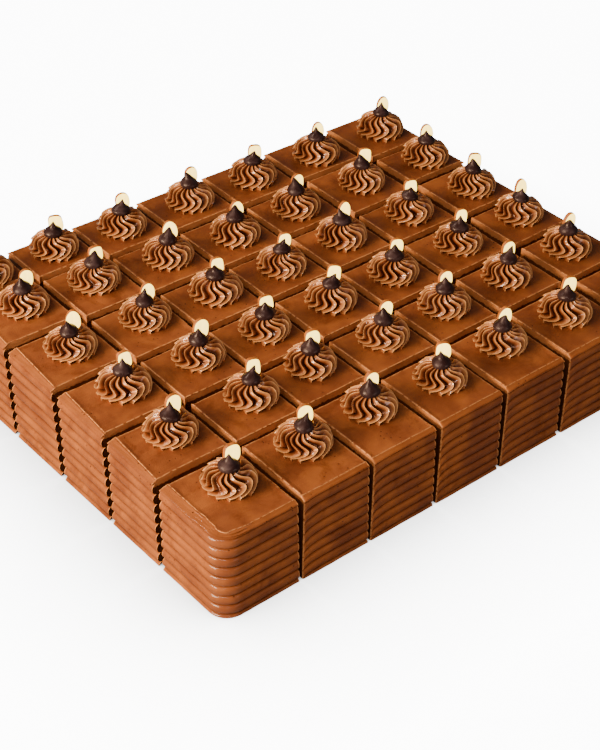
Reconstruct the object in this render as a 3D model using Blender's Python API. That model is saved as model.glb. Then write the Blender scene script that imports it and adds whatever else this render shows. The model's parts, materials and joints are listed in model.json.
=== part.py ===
"""A chocolate sheet cake, iced, combed round its four sides and cut into portions.

Every portion carries a piped rosette with a chocolate chip and half a nut on it, all joined
to the portion. The cake stands on z = 0, its middle over the origin, its long side along X
and its lower front at -Y. Sizes below are in millimetres; mesh_object() turns them into
metres.
"""

import math
import random

import bmesh
import bpy
from mathutils import Matrix, Vector

METRES = 0.001

# The whole cake. The icing rises a little from the front to the back.
LENGTH = 387.0
WIDTH = 311.0
HEIGHT_FRONT = 59.6
HEIGHT_BACK = 70.6

# Knife cuts. Six run right across the cake, each at a distance from its left end, with its
# own gap and its own slant in millimetres for each metre. Five more cross every column.
CROSS_CUTS = (55.8, 106.8, 159.3, 214.8, 270.3, 330.8)
CROSS_GAPS = (4.7, 4.3, 5.1, 5.1, 6.0, 8.0)
CROSS_SLANTS = (-1.5, -5.0, -2.5, 4.0, 13.0, 5.0)
ROWS = 6
ROW_PITCH = 52.7
ROW_GAP = 5.5
ROW_GAP_STRAY = 0.9
FIRST_COLUMN_ROW_GAP = 6.7
# How far each cut within a column strays towards the back from the even row pitch.
CUT_STRAYS = (
    (6.5, 4.5, 4.5, 6.5, 10.0),
    (6.0, 2.5, 0.5, 2.0, 5.0),
    (7.0, 0.0, 0.0, -1.0, -1.0),
    (4.0, -0.5, 0.0, -4.5, -2.5),
    (4.5, 0.0, 0.0, -0.5, -4.0),
    (5.0, 1.5, -0.5, -6.5, -1.5),
    (4.0, 2.0, -2.0, 0.0, -8.5),
)

# Every cut is narrower at its foot: each of its faces leans into it by this much.
CUT_LEAN = 1.1

# The combed sides. The grooves stand at even shares of the height, the lowest one near the
# foot. Over the top one the icing rounds off: share of the height, then how far in from the
# sides that face along X and from those that face along Y.
GROOVES = 9
LOWEST_GROOVE = 0.3
PITCHES = 8.65
RIDGE_DEPTH = 2.0
BAND_PROFILE = ((0.972, 0.4, 0.2), (1.0, 6.0, 3.0))
CORNER_RADIUS = 13.0
CORNER_STEPS = 3

# The piped rosette: height, crest radius and turn of each ring, from the base up. Rosettes
# grow taller and a little wider from the front left corner of the cake to the one across.
FLUTES = 9
ROSETTE_RINGS = ((-2.0, 15.8, -6.0), (4.4, 16.4, 16.0), (11.2, 6.9, 0.0))
VALLEY_SHARE = 0.80
ROSETTE_STRAY = 2.0
ROSETTE_SIZE_STRAY = 0.03
ROSETTE_RISE = 0.32
ROSETTE_SPREAD = 0.07
# Their offset from a portion's middle, and how much smaller it gets towards +X and +Y.
ROSETTE_SHIFT = (3.5, 3.5)
SHIFT_FALL_X = 3.2
SHIFT_FALL_Y = (2.3, 4.6)
ROSETTE_MARGIN = 18.5  # least distance from a rosette's middle to a side of the cake

# The chocolate chip: height above its seat and radius of each ring, then its tip.
CHIP_SIDES = 6
CHIP_RINGS = ((-0.9, 5.0), (2.0, 6.2), (6.0, 3.4))
CHIP_TIP = 9.0

# Half a nut, upright behind the chip with its cut face to the front.
NUT_SIDES = 6
NUT_WIDTH = 10.6
NUT_LENGTH = 13.3
NUT_THICKNESS = 4.4
NUT_SUNK = 2.5
NUT_OFFSET = (5.4, 3.8)
NUT_FACING = -17.0
NUT_FACING_STRAY = 12.0
NUT_BACK_SHARE = 0.62
NUT_TAPER = 0.12

SEED = 7
TOPPING_SEED = 623


def finish(name, colour, roughness):
    """A Principled material of one colour."""
    material = bpy.data.materials.new(name)
    material.use_nodes = True
    shader = material.node_tree.nodes["Principled BSDF"]
    shader.inputs["Base Color"].default_value = (*colour, 1.0)
    shader.inputs["Roughness"].default_value = roughness
    shader.inputs["Metallic"].default_value = 0.0
    material.diffuse_color = (*colour, 1.0)
    return material


def mesh_object(name, form, collection, material):
    """An object in metres from a bmesh in millimetres, with its faces pointing out."""
    bmesh.ops.scale(form, vec=(METRES,) * 3, verts=form.verts)
    bmesh.ops.recalc_face_normals(form, faces=form.faces)
    mesh = bpy.data.meshes.new(name)
    form.to_mesh(mesh)
    form.free()
    mesh.materials.append(material)
    thing = bpy.data.objects.new(name, mesh)
    collection.objects.link(thing)
    return thing


def loft(rings):
    """A closed form through rings that all have the same number of points."""
    form = bmesh.new()
    loops = [[form.verts.new(point) for point in ring] for ring in rings]
    count = len(loops[0])
    for low, high in zip(loops, loops[1:]):
        for here in range(count):
            after = (here + 1) % count
            form.faces.new((low[here], low[after], high[after], high[here]))
    form.faces.new(reversed(loops[0]))
    form.faces.new(loops[-1])
    return form


def top_height(y):
    """Height of the icing at a distance from the middle towards the back."""
    return HEIGHT_FRONT + (HEIGHT_BACK - HEIGHT_FRONT) * (y / WIDTH + 0.5)


def top_tilt():
    """The turn that lays an upright thing square on the icing."""
    return Matrix.Rotation(math.atan((HEIGHT_BACK - HEIGHT_FRONT) / WIDTH), 4, "X")


def cross_side(column, side, y):
    """X of a column's left (side 0) or right (side 1) face at a given y."""
    cut = column + side - 1
    if cut < 0 or cut >= len(CROSS_CUTS):
        return LENGTH * (side - 0.5)
    middle = CROSS_CUTS[cut] - LENGTH / 2 + CROSS_SLANTS[cut] * METRES * y
    return middle + CROSS_GAPS[cut] * (0.5 - side)


def row_sides(column):
    """The front and back y of every portion in a column."""
    draw = random.Random(SEED + column)
    faces = [-WIDTH / 2]
    for cut, stray in enumerate(CUT_STRAYS[column], start=1):
        gap = ROW_GAP if column else FIRST_COLUMN_ROW_GAP
        gap += draw.uniform(-ROW_GAP_STRAY, ROW_GAP_STRAY)
        middle = ROW_PITCH * cut + stray - WIDTH / 2
        faces += [middle - gap / 2, middle + gap / 2]
    faces.append(WIDTH / 2)
    return [(faces[2 * row], faces[2 * row + 1]) for row in range(ROWS)]


def plan_ring(column, front, back, insets, lean):
    """A portion's outline seen from above.

    The cake's own sides are drawn in by the insets along X and along Y. The cut faces are moved
    out by the lean.
    """
    last = len(CROSS_CUTS)
    outer_x = -1 if column == 0 else 1 if column == last else 0
    outer_y = -1 if front == -WIDTH / 2 else 1 if back == WIDTH / 2 else 0
    points = []
    for side, end in ((0, -1), (1, -1), (1, 1), (0, 1)):
        facing = 2 * side - 1
        if outer_x == facing and outer_y == end:
            points += rounded_corner(facing, end, insets)
            continue
        y = (front if end < 0 else back) + end * (-insets[1] if outer_y == end else lean)
        x = cross_side(column, side, y) + facing * (-insets[0] if outer_x == facing else lean)
        points.append((x, y))
    return points


def rounded_corner(sign_x, sign_y, insets):
    """The rounded outer corner of the cake, anticlockwise."""
    centre = (sign_x * (LENGTH / 2 - CORNER_RADIUS), sign_y * (WIDTH / 2 - CORNER_RADIUS))
    middle = math.atan2(sign_y, sign_x)
    turns = [(step / CORNER_STEPS - 0.5) * math.pi / 2 for step in range(CORNER_STEPS + 1)]
    return [
        (
            centre[0] + (CORNER_RADIUS - insets[0]) * math.cos(middle + turn),
            centre[1] + (CORNER_RADIUS - insets[1]) * math.sin(middle + turn),
        )
        for turn in turns
    ]


def comb_levels():
    """Shares of the height and insets of the combed sides, from the foot to the top."""
    levels = [(0.0, RIDGE_DEPTH / 2, RIDGE_DEPTH / 2)]
    for groove in range(GROOVES):
        share = (LOWEST_GROOVE + groove) / PITCHES
        levels.append((share, RIDGE_DEPTH, RIDGE_DEPTH))
        if groove < GROOVES - 1:
            levels.append((share + 0.5 / PITCHES, 0.0, 0.0))
    return levels + list(BAND_PROFILE)


def portion_form(column, front, back):
    """The cut block: plain faces inside the cake, combed faces round it, a sloping top."""
    is_outer = column in (0, len(CROSS_CUTS)) or -front == WIDTH / 2 or back == WIDTH / 2
    levels = comb_levels() if is_outer else [(0.0, 0.0, 0.0), (1.0, 0.0, 0.0)]
    rings = []
    for share, inset_x, inset_y in levels:
        ring = plan_ring(column, front, back, (inset_x, inset_y), CUT_LEAN * (1 - share))
        rings.append([(x, y, share * top_height(y)) for x, y in ring])
    form = loft(rings)
    bmesh.ops.dissolve_limit(
        form, angle_limit=math.radians(0.05), verts=form.verts[:], edges=form.edges[:]
    )
    return form


def rosette_form(plan):
    """A low dome whose flutes sweep round it on the way up."""
    rings = []
    for height, crest, turn in ROSETTE_RINGS:
        ring = []
        for point in range(2 * FLUTES):
            radius = plan["spread"] * crest * (VALLEY_SHARE if point % 2 else 1.0)
            angle = math.radians(plan["start"] + turn) + math.pi * point / FLUTES
            ring.append((radius * math.cos(angle), radius * math.sin(angle), plan["rise"] * height))
        rings.append(ring)
    return loft(rings)


def chip_form(plan):
    """A drop of chocolate that narrows to a bent tip."""
    angles = [2 * math.pi * side / CHIP_SIDES for side in range(CHIP_SIDES)]
    rings = [
        [(radius * math.cos(angle), radius * math.sin(angle), height) for angle in angles]
        for height, radius in CHIP_RINGS
    ]
    form = loft(rings)
    form.faces.ensure_lookup_table()
    tip = bmesh.ops.poke(form, faces=[form.faces[-1]])["verts"][0]
    tip.co = (*plan["tip"], CHIP_TIP)
    return form


def nut_form(plan):
    """Half an egg-shaped nut: a flat cut face towards -Y, a rounded back towards +Y."""
    rings = []
    for depth, share in ((0.0, 1.0), (1.0, NUT_BACK_SHARE)):
        ring = []
        for side in range(NUT_SIDES):
            angle = 2 * math.pi * (side / NUT_SIDES + 0.25)
            narrow = 1 - NUT_TAPER * math.sin(angle)
            x = share * narrow * plan["nut_width"] / 2 * math.cos(angle)
            z = plan["nut_length"] / 2 * (1 + share * math.sin(angle))
            ring.append((x, depth * NUT_THICKNESS, z))
        rings.append(ring)
    return loft(rings)


def within(value, reach):
    """The value, or the nearest one no further than a reach from nought."""
    return max(-reach, min(reach, value))


def topping_plan(column, row, middle):
    """Where a portion's toppings stand and how theirs differ from the next one's."""
    draw = random.Random(TOPPING_SEED + ROWS * column + row)
    along = 2 * middle[0] / LENGTH
    back = 2 * middle[1] / WIDTH
    x = middle[0] + ROSETTE_SHIFT[0] - SHIFT_FALL_X * along * (1 - back)
    y = middle[1] + ROSETTE_SHIFT[1] - SHIFT_FALL_Y[0] * along - SHIFT_FALL_Y[1] * back
    x += draw.uniform(-ROSETTE_STRAY, ROSETTE_STRAY)
    y += draw.uniform(-ROSETTE_STRAY, ROSETTE_STRAY)
    x = within(x, LENGTH / 2 - ROSETTE_MARGIN)
    y = within(y, WIDTH / 2 - ROSETTE_MARGIN)
    far = (x / LENGTH + y / WIDTH + 1) / 2
    size = 1 + draw.uniform(-ROSETTE_SIZE_STRAY, ROSETTE_SIZE_STRAY)
    return {
        "at": (x, y, top_height(y)),
        "rise": size * (1 + ROSETTE_RISE * far),
        "spread": size * (1 + ROSETTE_SPREAD * far),
        "start": draw.uniform(0, 360),
        "tip": (draw.uniform(-0.6, 0.6), draw.uniform(-0.6, 0.6)),
        "nut_width": NUT_WIDTH * draw.uniform(0.92, 1.06),
        "nut_length": NUT_LENGTH * draw.uniform(0.9, 1.04),
        "nut_facing": NUT_FACING + draw.uniform(-NUT_FACING_STRAY, NUT_FACING_STRAY),
    }


def add_toppings(portion, plan, materials, collection):
    """Pipes a rosette on a portion, sets a chip and half a nut on it and joins them all."""
    toppings = bpy.data.collections.new("toppings")
    collection.children.link(toppings)
    stand = Matrix.Translation(plan["at"]) @ top_tilt()
    seat = plan["rise"] * ROSETTE_RINGS[-1][0]
    facing = Matrix.Rotation(math.radians(plan["nut_facing"]), 4, "Z")
    nut_place = Matrix.Translation((*NUT_OFFSET, seat - NUT_SUNK)) @ facing
    pieces = (
        ("rosette", rosette_form(plan), Matrix()),
        ("chip", chip_form(plan), Matrix.Translation((0, 0, seat))),
        ("nut", nut_form(plan), nut_place),
    )
    for name, form, place in pieces:
        bmesh.ops.transform(form, matrix=stand @ place, verts=form.verts)
        mesh_object(name, form, toppings, materials[name])
    union = portion.modifiers.new("toppings", "BOOLEAN")
    union.operation = "UNION"
    union.operand_type = "COLLECTION"
    union.collection = toppings
    union.solver = "EXACT"
    bpy.context.view_layer.objects.active = portion
    bpy.context.view_layer.update()
    bpy.ops.object.modifier_apply(modifier=union.name)
    for piece in list(toppings.objects):
        bpy.data.objects.remove(piece)
    bpy.data.collections.remove(toppings)


def main():
    for thing in list(bpy.data.objects):
        bpy.data.objects.remove(thing)
    cake = bpy.data.collections.new("chocolate_sheet_cake")
    bpy.context.scene.collection.children.link(cake)
    icing = finish("milk chocolate icing", (0.235, 0.085, 0.035), 0.5)
    materials = {
        "rosette": finish("piped milk chocolate", (0.27, 0.1, 0.04), 0.38),
        "chip": finish("dark chocolate", (0.03, 0.014, 0.012), 0.4),
        "nut": finish("cut nut", (0.82, 0.7, 0.45), 0.5),
    }
    for column in range(len(CROSS_CUTS) + 1):
        for row, (front, back) in enumerate(row_sides(column)):
            name = f"portion_{column + 1}_{row + 1}"
            portion = mesh_object(name, portion_form(column, front, back), cake, icing)
            middle_y = (front + back) / 2
            middle_x = (cross_side(column, 0, middle_y) + cross_side(column, 1, middle_y)) / 2
            plan = topping_plan(column, row, (middle_x, middle_y))
            add_toppings(portion, plan, materials, cake)


main()
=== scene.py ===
"""The looks of a chocolate sheet cake that is cut into portions.

Comb-marked icing and rough cut faces, a piped rosette on every portion, and a chocolate drop
and half a nut on every rosette. Each piece is laid out with the same sizes and the same seeds
as the solids, so it stands where they are. Everything is in metres, +Z up.
"""

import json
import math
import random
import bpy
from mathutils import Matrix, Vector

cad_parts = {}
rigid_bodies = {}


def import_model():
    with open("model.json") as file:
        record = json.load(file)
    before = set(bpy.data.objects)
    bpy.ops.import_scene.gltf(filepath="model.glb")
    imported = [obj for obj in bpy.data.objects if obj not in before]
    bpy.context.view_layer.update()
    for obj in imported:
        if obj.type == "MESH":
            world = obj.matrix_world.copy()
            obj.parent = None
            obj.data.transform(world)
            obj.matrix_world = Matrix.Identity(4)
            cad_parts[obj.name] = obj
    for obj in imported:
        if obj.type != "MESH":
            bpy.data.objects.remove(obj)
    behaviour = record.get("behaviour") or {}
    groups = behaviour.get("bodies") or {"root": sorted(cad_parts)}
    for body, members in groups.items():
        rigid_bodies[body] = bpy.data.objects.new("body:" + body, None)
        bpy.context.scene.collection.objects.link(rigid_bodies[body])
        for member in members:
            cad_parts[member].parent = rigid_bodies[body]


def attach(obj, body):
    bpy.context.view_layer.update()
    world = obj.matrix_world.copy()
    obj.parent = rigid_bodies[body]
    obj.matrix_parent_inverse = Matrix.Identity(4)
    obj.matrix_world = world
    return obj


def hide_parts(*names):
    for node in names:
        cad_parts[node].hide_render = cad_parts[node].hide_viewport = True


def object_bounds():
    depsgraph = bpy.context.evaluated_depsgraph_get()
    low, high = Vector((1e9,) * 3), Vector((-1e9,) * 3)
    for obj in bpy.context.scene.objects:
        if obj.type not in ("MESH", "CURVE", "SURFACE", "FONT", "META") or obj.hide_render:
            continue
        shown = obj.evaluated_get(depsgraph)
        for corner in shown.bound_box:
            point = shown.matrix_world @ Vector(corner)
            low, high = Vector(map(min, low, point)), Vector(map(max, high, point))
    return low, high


bl_info = {
    "name": "Chocolate Sheet Cake",
    "version": (1, 0, 0),
    "blender": (4, 5, 0),
    "location": "3D View > Sidebar > Sheet Cake",
    "description": "Ices, cuts, pipes and lights a chocolate sheet cake round its solids",
    "category": "Add Mesh",
}

import bpy
import numpy as np
from bpy.props import FloatProperty, FloatVectorProperty, IntProperty, PointerProperty
from mathutils import Euler, Matrix, Vector

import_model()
CAD_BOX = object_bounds()

FAR = 1.0  # a distance longer than anything on the cake

# Knife cuts. Six run right across the cake, each at a distance from its left end, with its own
# gap and its own slant in metres for each metre. Five more cross every column.
CROSS_CUTS = (0.0558, 0.1068, 0.1593, 0.2148, 0.2703, 0.3308)
CROSS_GAPS = (0.0047, 0.0043, 0.0051, 0.0051, 0.006, 0.008)
CROSS_SLANTS = (-0.0015, -0.005, -0.0025, 0.004, 0.013, 0.005)
COLUMNS = len(CROSS_CUTS) + 1
ROWS = 6
ROW_GAP_STRAY = 0.0009
FIRST_COLUMN_ROW_GAP = 0.0067
# How far each cut within a column strays towards the back from the even row pitch.
CUT_STRAYS = (
    (0.0065, 0.0045, 0.0045, 0.0065, 0.010),
    (0.006, 0.0025, 0.0005, 0.002, 0.005),
    (0.007, 0.0, 0.0, -0.001, -0.001),
    (0.004, -0.0005, 0.0, -0.0045, -0.0025),
    (0.0045, 0.0, 0.0, -0.0005, -0.004),
    (0.005, 0.0015, -0.0005, -0.0065, -0.0015),
    (0.004, 0.002, -0.002, 0.0, -0.0085),
)
SEED = 7
TOPPING_SEED = 623

# The sides of a portion, anticlockwise from its front, and which way each one faces.
FRONT, RIGHT, BACK, LEFT = range(4)
FACING = np.array(((0.0, -1.0), (1.0, 0.0), (0.0, 1.0), (-1.0, 0.0)))


# ---------------------------------------------------------------- sizes and colours


def size(name, description, default):
    """A length that a user may change."""
    return FloatProperty(
        name=name, description=description, default=default, min=0.0, precision=4, unit="LENGTH"
    )


def turn(name, description, default):
    """An angle that a user may change, given in degrees."""
    return FloatProperty(
        name=name, description=description, default=math.radians(default), subtype="ANGLE"
    )


def share(name, description, default):
    """A share from 0 to 1 that a user may change."""
    return FloatProperty(
        name=name, description=description, default=default, min=0.0, max=1.0, subtype="FACTOR"
    )


def power(name, description, default):
    """A lamp's power in watts."""
    return FloatProperty(name=name, description=description, default=default, min=0.0, unit="POWER")


def colour(name, description, default):
    """A linear colour that a user may change."""
    return FloatVectorProperty(
        name=name, description=description, default=default, min=0.0, max=1.0, subtype="COLOR"
    )


class SheetCakeBlock(bpy.types.PropertyGroup):
    """The iced cake and its cuts."""

    length: size("Length", "Along the long sides", CAD_BOX[1].x - CAD_BOX[0].x)
    width: size("Width", "Across the cake", CAD_BOX[1].y - CAD_BOX[0].y)
    height_front: size("Front Height", "Along the front", 0.0596)
    height_back: size("Back Height", "Along the back", 0.0706)
    row_pitch: size("Row Pitch", "From one cut to the next within a column", 0.0527)
    row_gap: size("Row Gap", "Width of the cuts within a column", 0.0055)
    cut_lean: size("Cut Lean", "How far a cut's faces lean into it at the foot", 0.0011)
    ridge_depth: size("Ridge Depth", "Depth of the grooves between ridges", 0.0025)
    corner_radius: size("Corner Radius", "Rounding of the cake's own upright edges", 0.013)
    crumb_depth: size("Crumb Depth", "How rough the cut faces are", 0.0008)
    icing_depth: size("Icing Depth", "Thickness of the icing over the sponge", 0.0056)


class SheetCakeRosette(bpy.types.PropertyGroup):
    """The piped rosettes."""

    crests: IntProperty(name="Crests", description="Ridges round a rosette", default=16, min=5)
    radius: size("Radius", "At the widest place", 0.0168)
    height: size("Height", "From the icing to the drop's seat, on the smallest one", 0.0112)
    seat_radius: size("Seat Radius", "Crest radius at the drop's seat", 0.0066)
    valley: size("Valley Depth", "Depth of the valleys between the crests", 0.0046)
    twist: turn("Twist", "How far the crests swing sideways on the way down", 27.0)
    rise: share("Extra Rise", "How much taller the furthest rosettes are", 0.32)
    spread: share("Extra Spread", "How much wider the furthest rosettes are", 0.07)


class SheetCakeToppings(bpy.types.PropertyGroup):
    """The chocolate drops and the nuts."""

    drop_radius: size("Drop Radius", "At its foot", 0.0063)
    drop_height: size("Drop Height", "From its foot to its tip", 0.0106)
    nut_width: size("Nut Width", "Across the cut face", 0.0098)
    nut_length: size("Nut Length", "Along the cut face", 0.0133)
    nut_thickness: size("Nut Thickness", "Of one half", 0.0044)
    crumbs: IntProperty(name="Crumbs", description="Crumbs in the cuts", default=2600, min=0)


class SheetCakeColours(bpy.types.PropertyGroup):
    """Base colours of the finishes, some of them painted light and shade."""

    icing: colour("Icing", "Milk chocolate icing", (0.205, 0.05, 0.0145))
    # Also painted light: the highlight on the band over the top groove and the lit icing on the cut
    # faces.
    icing_pale: colour("Pale Icing", "Where the icing is scraped or dry", (0.36, 0.095, 0.021))
    icing_dark: colour("Dark Icing", "Darker patches of the icing", (0.12, 0.022, 0.0035))
    # Partly worn icing and partly a painted highlight on rounded edges; also painted light on the cut
    # faces.
    icing_edge: colour("Icing Edge", "Where the knife left a thin edge", (0.72, 0.27, 0.085))
    # Painted shade in the comb's grooves, in pits and in the rosettes' valleys; also the darker tone of
    # the crumbs.
    deep_shade_and_crumb: colour("Deep Icing", "In the comb's grooves", (0.05, 0.008, 0.0015))
    # Partly the real dark sponge, partly painted shade deep in the cuts.
    sponge: colour("Sponge", "Dark sponge under the icing", (0.1, 0.025, 0.006))
    piped: colour("Piped Chocolate", "The rosettes", (0.25, 0.059, 0.0135))
    # Painted highlight on the crests and upper slopes of the rosettes.
    piped_highlight: colour("Crest", "The thin crests of the rosettes", (0.95, 0.43, 0.14))
    drop: colour("Drop", "Dark chocolate", (0.022, 0.008, 0.0068))
    nut_flesh: colour("Nut Flesh", "The cut face of a nut", (0.95, 0.68, 0.2))
    shine: colour("Shine", "Tint of the reflections on icing", (1.0, 0.45, 0.25))
    nut_skin: colour("Nut Skin", "The brown skin of a nut", (0.42, 0.1, 0.012))
    floor: colour("Floor", "The surface that the cake stands on", (0.35, 0.34, 0.32))


class SheetCakeStage(bpy.types.PropertyGroup):
    """Camera and light."""

    camera: FloatVectorProperty(
        name="Camera Place",
        description="Where the camera is",
        default=(-0.5504, -0.6547, 0.6163),
        subtype="TRANSLATION",
    )
    heading: turn("Camera Heading", "Turn of the view from +X towards +Y", 50.51)
    dip: turn("Camera Dip", "How far the view looks down", 36.07)
    roll: turn("Camera Roll", "Turn of the picture round its middle", 0.14)
    field: turn("Camera Field", "Angle of view from the picture's top to its bottom", 26.98)
    key: power("Key Lamp", "The soft lamp on the left", 62.0)
    back: power("Back Lamp", "The lamp over the far left corner of the cake", 12.0)
    fill: power("Fill Lamp", "The soft lamp in front of the cake", 7.0)
    glint: power("Glint Lamp", "The thin lamp that puts glints on the icing", 7.0)
    ambient: share("Ambient Light", "Strength of the light from all round", 0.13)
    glow: FloatProperty(
        name="Floor Glow", description="How brightly the floor shows", default=12.0, min=0.0
    )


class SheetCakeSettings(bpy.types.PropertyGroup):
    """Everything that a user may change."""

    block: PointerProperty(type=SheetCakeBlock)
    rosette: PointerProperty(type=SheetCakeRosette)
    toppings: PointerProperty(type=SheetCakeToppings)
    colours: PointerProperty(type=SheetCakeColours)
    stage: PointerProperty(type=SheetCakeStage)


# ---------------------------------------------------------------- numbers


# Large odd numbers and shifts that stir a cell's place and a seed into a random value.
CELL_STIR = (73856093, 19349663, 83492791)
SEED_STIR = 374761393
VALUE_STIR = ((13, 1274126177), (16, 2246822519))
LAST_SHIFT = 15
WORD = 0xFFFFFFFF


def lattice_value(cells, seed):
    """A fixed random value from -1 to 1 for every cell of a lattice."""
    x, y, z = (cells[:, axis] * CELL_STIR[axis] for axis in range(3))
    mixed = ((x ^ y ^ z) + seed * SEED_STIR) & WORD
    for shift, factor in VALUE_STIR:
        mixed = (mixed ^ mixed >> shift) * factor & WORD
    return (mixed ^ mixed >> LAST_SHIFT) / (WORD // 2) - 1


def noise(points, cell, seed):
    """Smooth noise from -1 to 1 at points (..., 3), with bumps about as wide as a cell."""
    flat = np.asarray(points, float).reshape(-1, 3) / cell
    base = np.floor(flat).astype(np.int64)
    part = flat - base
    part = part * part * (3 - 2 * part)
    total = np.zeros(len(flat))
    for corner in range(8):
        step = np.array((corner & 1, corner >> 1 & 1, corner >> 2 & 1))
        total += np.where(step, part, 1 - part).prod(axis=1) * lattice_value(base + step, seed)
    return total.reshape(np.shape(points)[:-1])


def layers(points, *each):
    """Noise of several sizes in one, each given as its height, its cell and its seed."""
    return sum(height * noise(points, cell, seed) for height, cell, seed in each)


def smooth_step(low, high, value):
    """0 below low, 1 above high and a smooth rise between them."""
    part = np.clip((value - low) / (high - low), 0, 1)
    return part * part * (3 - 2 * part)


# ---------------------------------------------------------------- how the cake is cut


def top_height(block, y):
    """Height of the icing at a distance from the middle towards the back."""
    return block.height_front + (block.height_back - block.height_front) * (y / block.width + 0.5)


def top_tilt(block):
    """The turn that lays an upright thing square on the icing."""
    return Matrix.Rotation(math.atan((block.height_back - block.height_front) / block.width), 4, "X")


def cross_side(block, column, side, y):
    """X of a column's left (side 0) or right (side 1) face at a given y."""
    cut = column + side - 1
    if cut < 0 or cut >= len(CROSS_CUTS):
        return block.length * (side - 0.5)
    middle = CROSS_CUTS[cut] - block.length / 2 + CROSS_SLANTS[cut] * y
    return middle + CROSS_GAPS[cut] * (0.5 - side)


def row_sides(block, column):
    """The front and back y of every portion in a column."""
    draw = random.Random(SEED + column)
    faces = [-block.width / 2]
    for cut, stray in enumerate(CUT_STRAYS[column], start=1):
        gap = block.row_gap if column else FIRST_COLUMN_ROW_GAP
        gap += draw.uniform(-ROW_GAP_STRAY, ROW_GAP_STRAY)
        middle = block.row_pitch * cut + stray - block.width / 2
        faces += [middle - gap / 2, middle + gap / 2]
    faces.append(block.width / 2)
    return [(faces[2 * row], faces[2 * row + 1]) for row in range(ROWS)]


class Portion:
    """One cut portion: its place in the cake, its corners and which sides are the cake's own."""

    def __init__(self, block, column, row, front, back):
        self.column, self.row = column, row
        self.name = f"portion_{column + 1}_{row + 1}"
        self.corners = [
            np.array((cross_side(block, column, side, y), y))
            for side, y in ((0, front), (1, front), (1, back), (0, back))
        ]
        self.outer = (row == 0, column == COLUMNS - 1, row == ROWS - 1, column == 0)
        middle_y = (front + back) / 2
        middle_x = sum(cross_side(block, column, side, middle_y) for side in (0, 1)) / 2
        self.middle = np.array((middle_x, middle_y))
        self.nearest = column == 0 and row == 0  # at the lowest corner
        self.seed = SEED + ROWS * column + row


def portions(block):
    """All portions, column by column from the left and row by row from the front."""
    return [
        Portion(block, column, row, *sides)
        for column in range(COLUMNS)
        for row, sides in enumerate(row_sides(block, column))
    ]


# ---------------------------------------------------------------- meshes and pieces


def plan_points(plan, z):
    """Plan places (..., 2) and heights as points (..., 3)."""
    return np.concatenate((plan, np.broadcast_to(np.asarray(z), plan.shape[:-1])[..., None]), axis=-1)


class Form:
    """Points, faces and point attributes, gathered until they become one mesh."""

    def __init__(self):
        self.points, self.faces, self.values, self.count = [], [], {}, 0

    def add(self, points, faces, **values):
        """Adds points (..., 3), faces that count from the first of them, and a value for each."""
        self.points.append(points.reshape(-1, 3))
        self.faces += [[index + self.count for index in face] for face in faces]
        for name, value in values.items():
            self.values.setdefault(name, []).append(value.ravel())
        self.count += len(self.points[-1])

    def mesh(self, name):
        """One mesh with smooth faces."""
        made = bpy.data.meshes.new(name)
        made.from_pydata(np.concatenate(self.points).tolist(), [], self.faces)
        for title, value in self.values.items():
            kept = made.attributes.new(title, "FLOAT", "POINT")
            kept.data.foreach_set("value", np.concatenate(value).astype(np.float32))
        made.shade_smooth()
        return made


def ring_faces(levels, count):
    """Four-sided faces between rings of points, one ring above the other, facing out."""
    here = np.arange(count)
    after = (here + 1) % count
    faces = []
    for level in range(levels - 1):
        low, high = level * count, (level + 1) * count
        faces.append(np.stack((low + here, low + after, high + after, high + here), axis=1))
    return np.concatenate(faces).tolist()


def closed_rings(levels, count):
    """The faces of a stack of rings, closed at its foot and its head."""
    foot = list(range(count))[::-1]
    head = list(range((levels - 1) * count, levels * count))
    return ring_faces(levels, count) + [foot, head]


def place_piece(name, mesh, material, nodes=(), sharp=None):
    """Puts a mesh in the scene as a piece of the cake, sharp where it turns by over an angle."""
    mesh.shade_smooth()
    if sharp:
        mesh.set_sharp_from_angle(angle=math.radians(sharp))
    mesh.materials.clear()
    mesh.materials.append(material)
    piece = bpy.data.objects.new(name, mesh)
    bpy.context.scene.collection.objects.link(piece)
    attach(piece, "root")
    if nodes:
        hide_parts(*nodes)


# ---------------------------------------------------------------- the iced blocks

SPACING = 0.0023  # between the points of a side
# Distances from an edge at which points stand closer together.
EDGE_MARKS = (0.0, 0.0001, 0.0003, 0.0006, 0.001, 0.0016, 0.0024, 0.0037)
ARC_STEPS = 12
BLOCK_SHARP = 62.0

# The comb's grooves stand at even shares of the height, the lowest one near the foot.
GROOVES = 9
LOWEST_GROOVE = 0.3
PITCHES = 8.65
# Heights within one comb ridge, as shares of the pitch. Grooves are at 0 and 1.
RIDGE_STEPS = (0.0, 0.04, 0.11, 0.24, 0.42, 0.62, 0.8, 0.9, 0.96)
FOOT_STEPS = (-0.3, -0.2, -0.1, -0.04)
# A ridge's section, as weights and powers of the way from its crest to a groove.
ROUND_RIDGE = ((0.65, 2), (0.35, 6))  # on the sides that face along X
FLAT_RIDGE = ((0.3, 2), (0.6, 8))  # on the sides that face along Y
RIDGE_UNEVENNESS = ((0.2, 0.017, 3), (0.1, 0.005, 4))
RIDGE_NOISE_STEP = 0.05  # from one pitch to the next within that noise
RIDGE_FADE = (0.0001, 0.0014)  # from a portion's left end, on the sides that face along Y
GROOVE_POWER = 6  # how narrow the painted shade in a groove is
FLAT_GROOVE_POWER = 3  # how much narrower on the sides that face along Y
UNDERSIDE = (0.15, 0.95)  # pitches over a groove at which a ridge's painted underside shade is darkest and where it ends
UNDERSIDE_SHADE = 0.3
FLAT_UNDERSIDE_LOSS = 0.05
# How the comb was held unsteadily, and how the knife dragged the left ends down.
UNSTEADY = (0.0004, 0.024, 5)
UNSTEADY_STEP = 0.03  # from the foot to the top within that noise
DRAG_DEPTH = 0.0042
DRAG_REACH = 0.004
LEFT_ROUNDING = 0.0014
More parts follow.
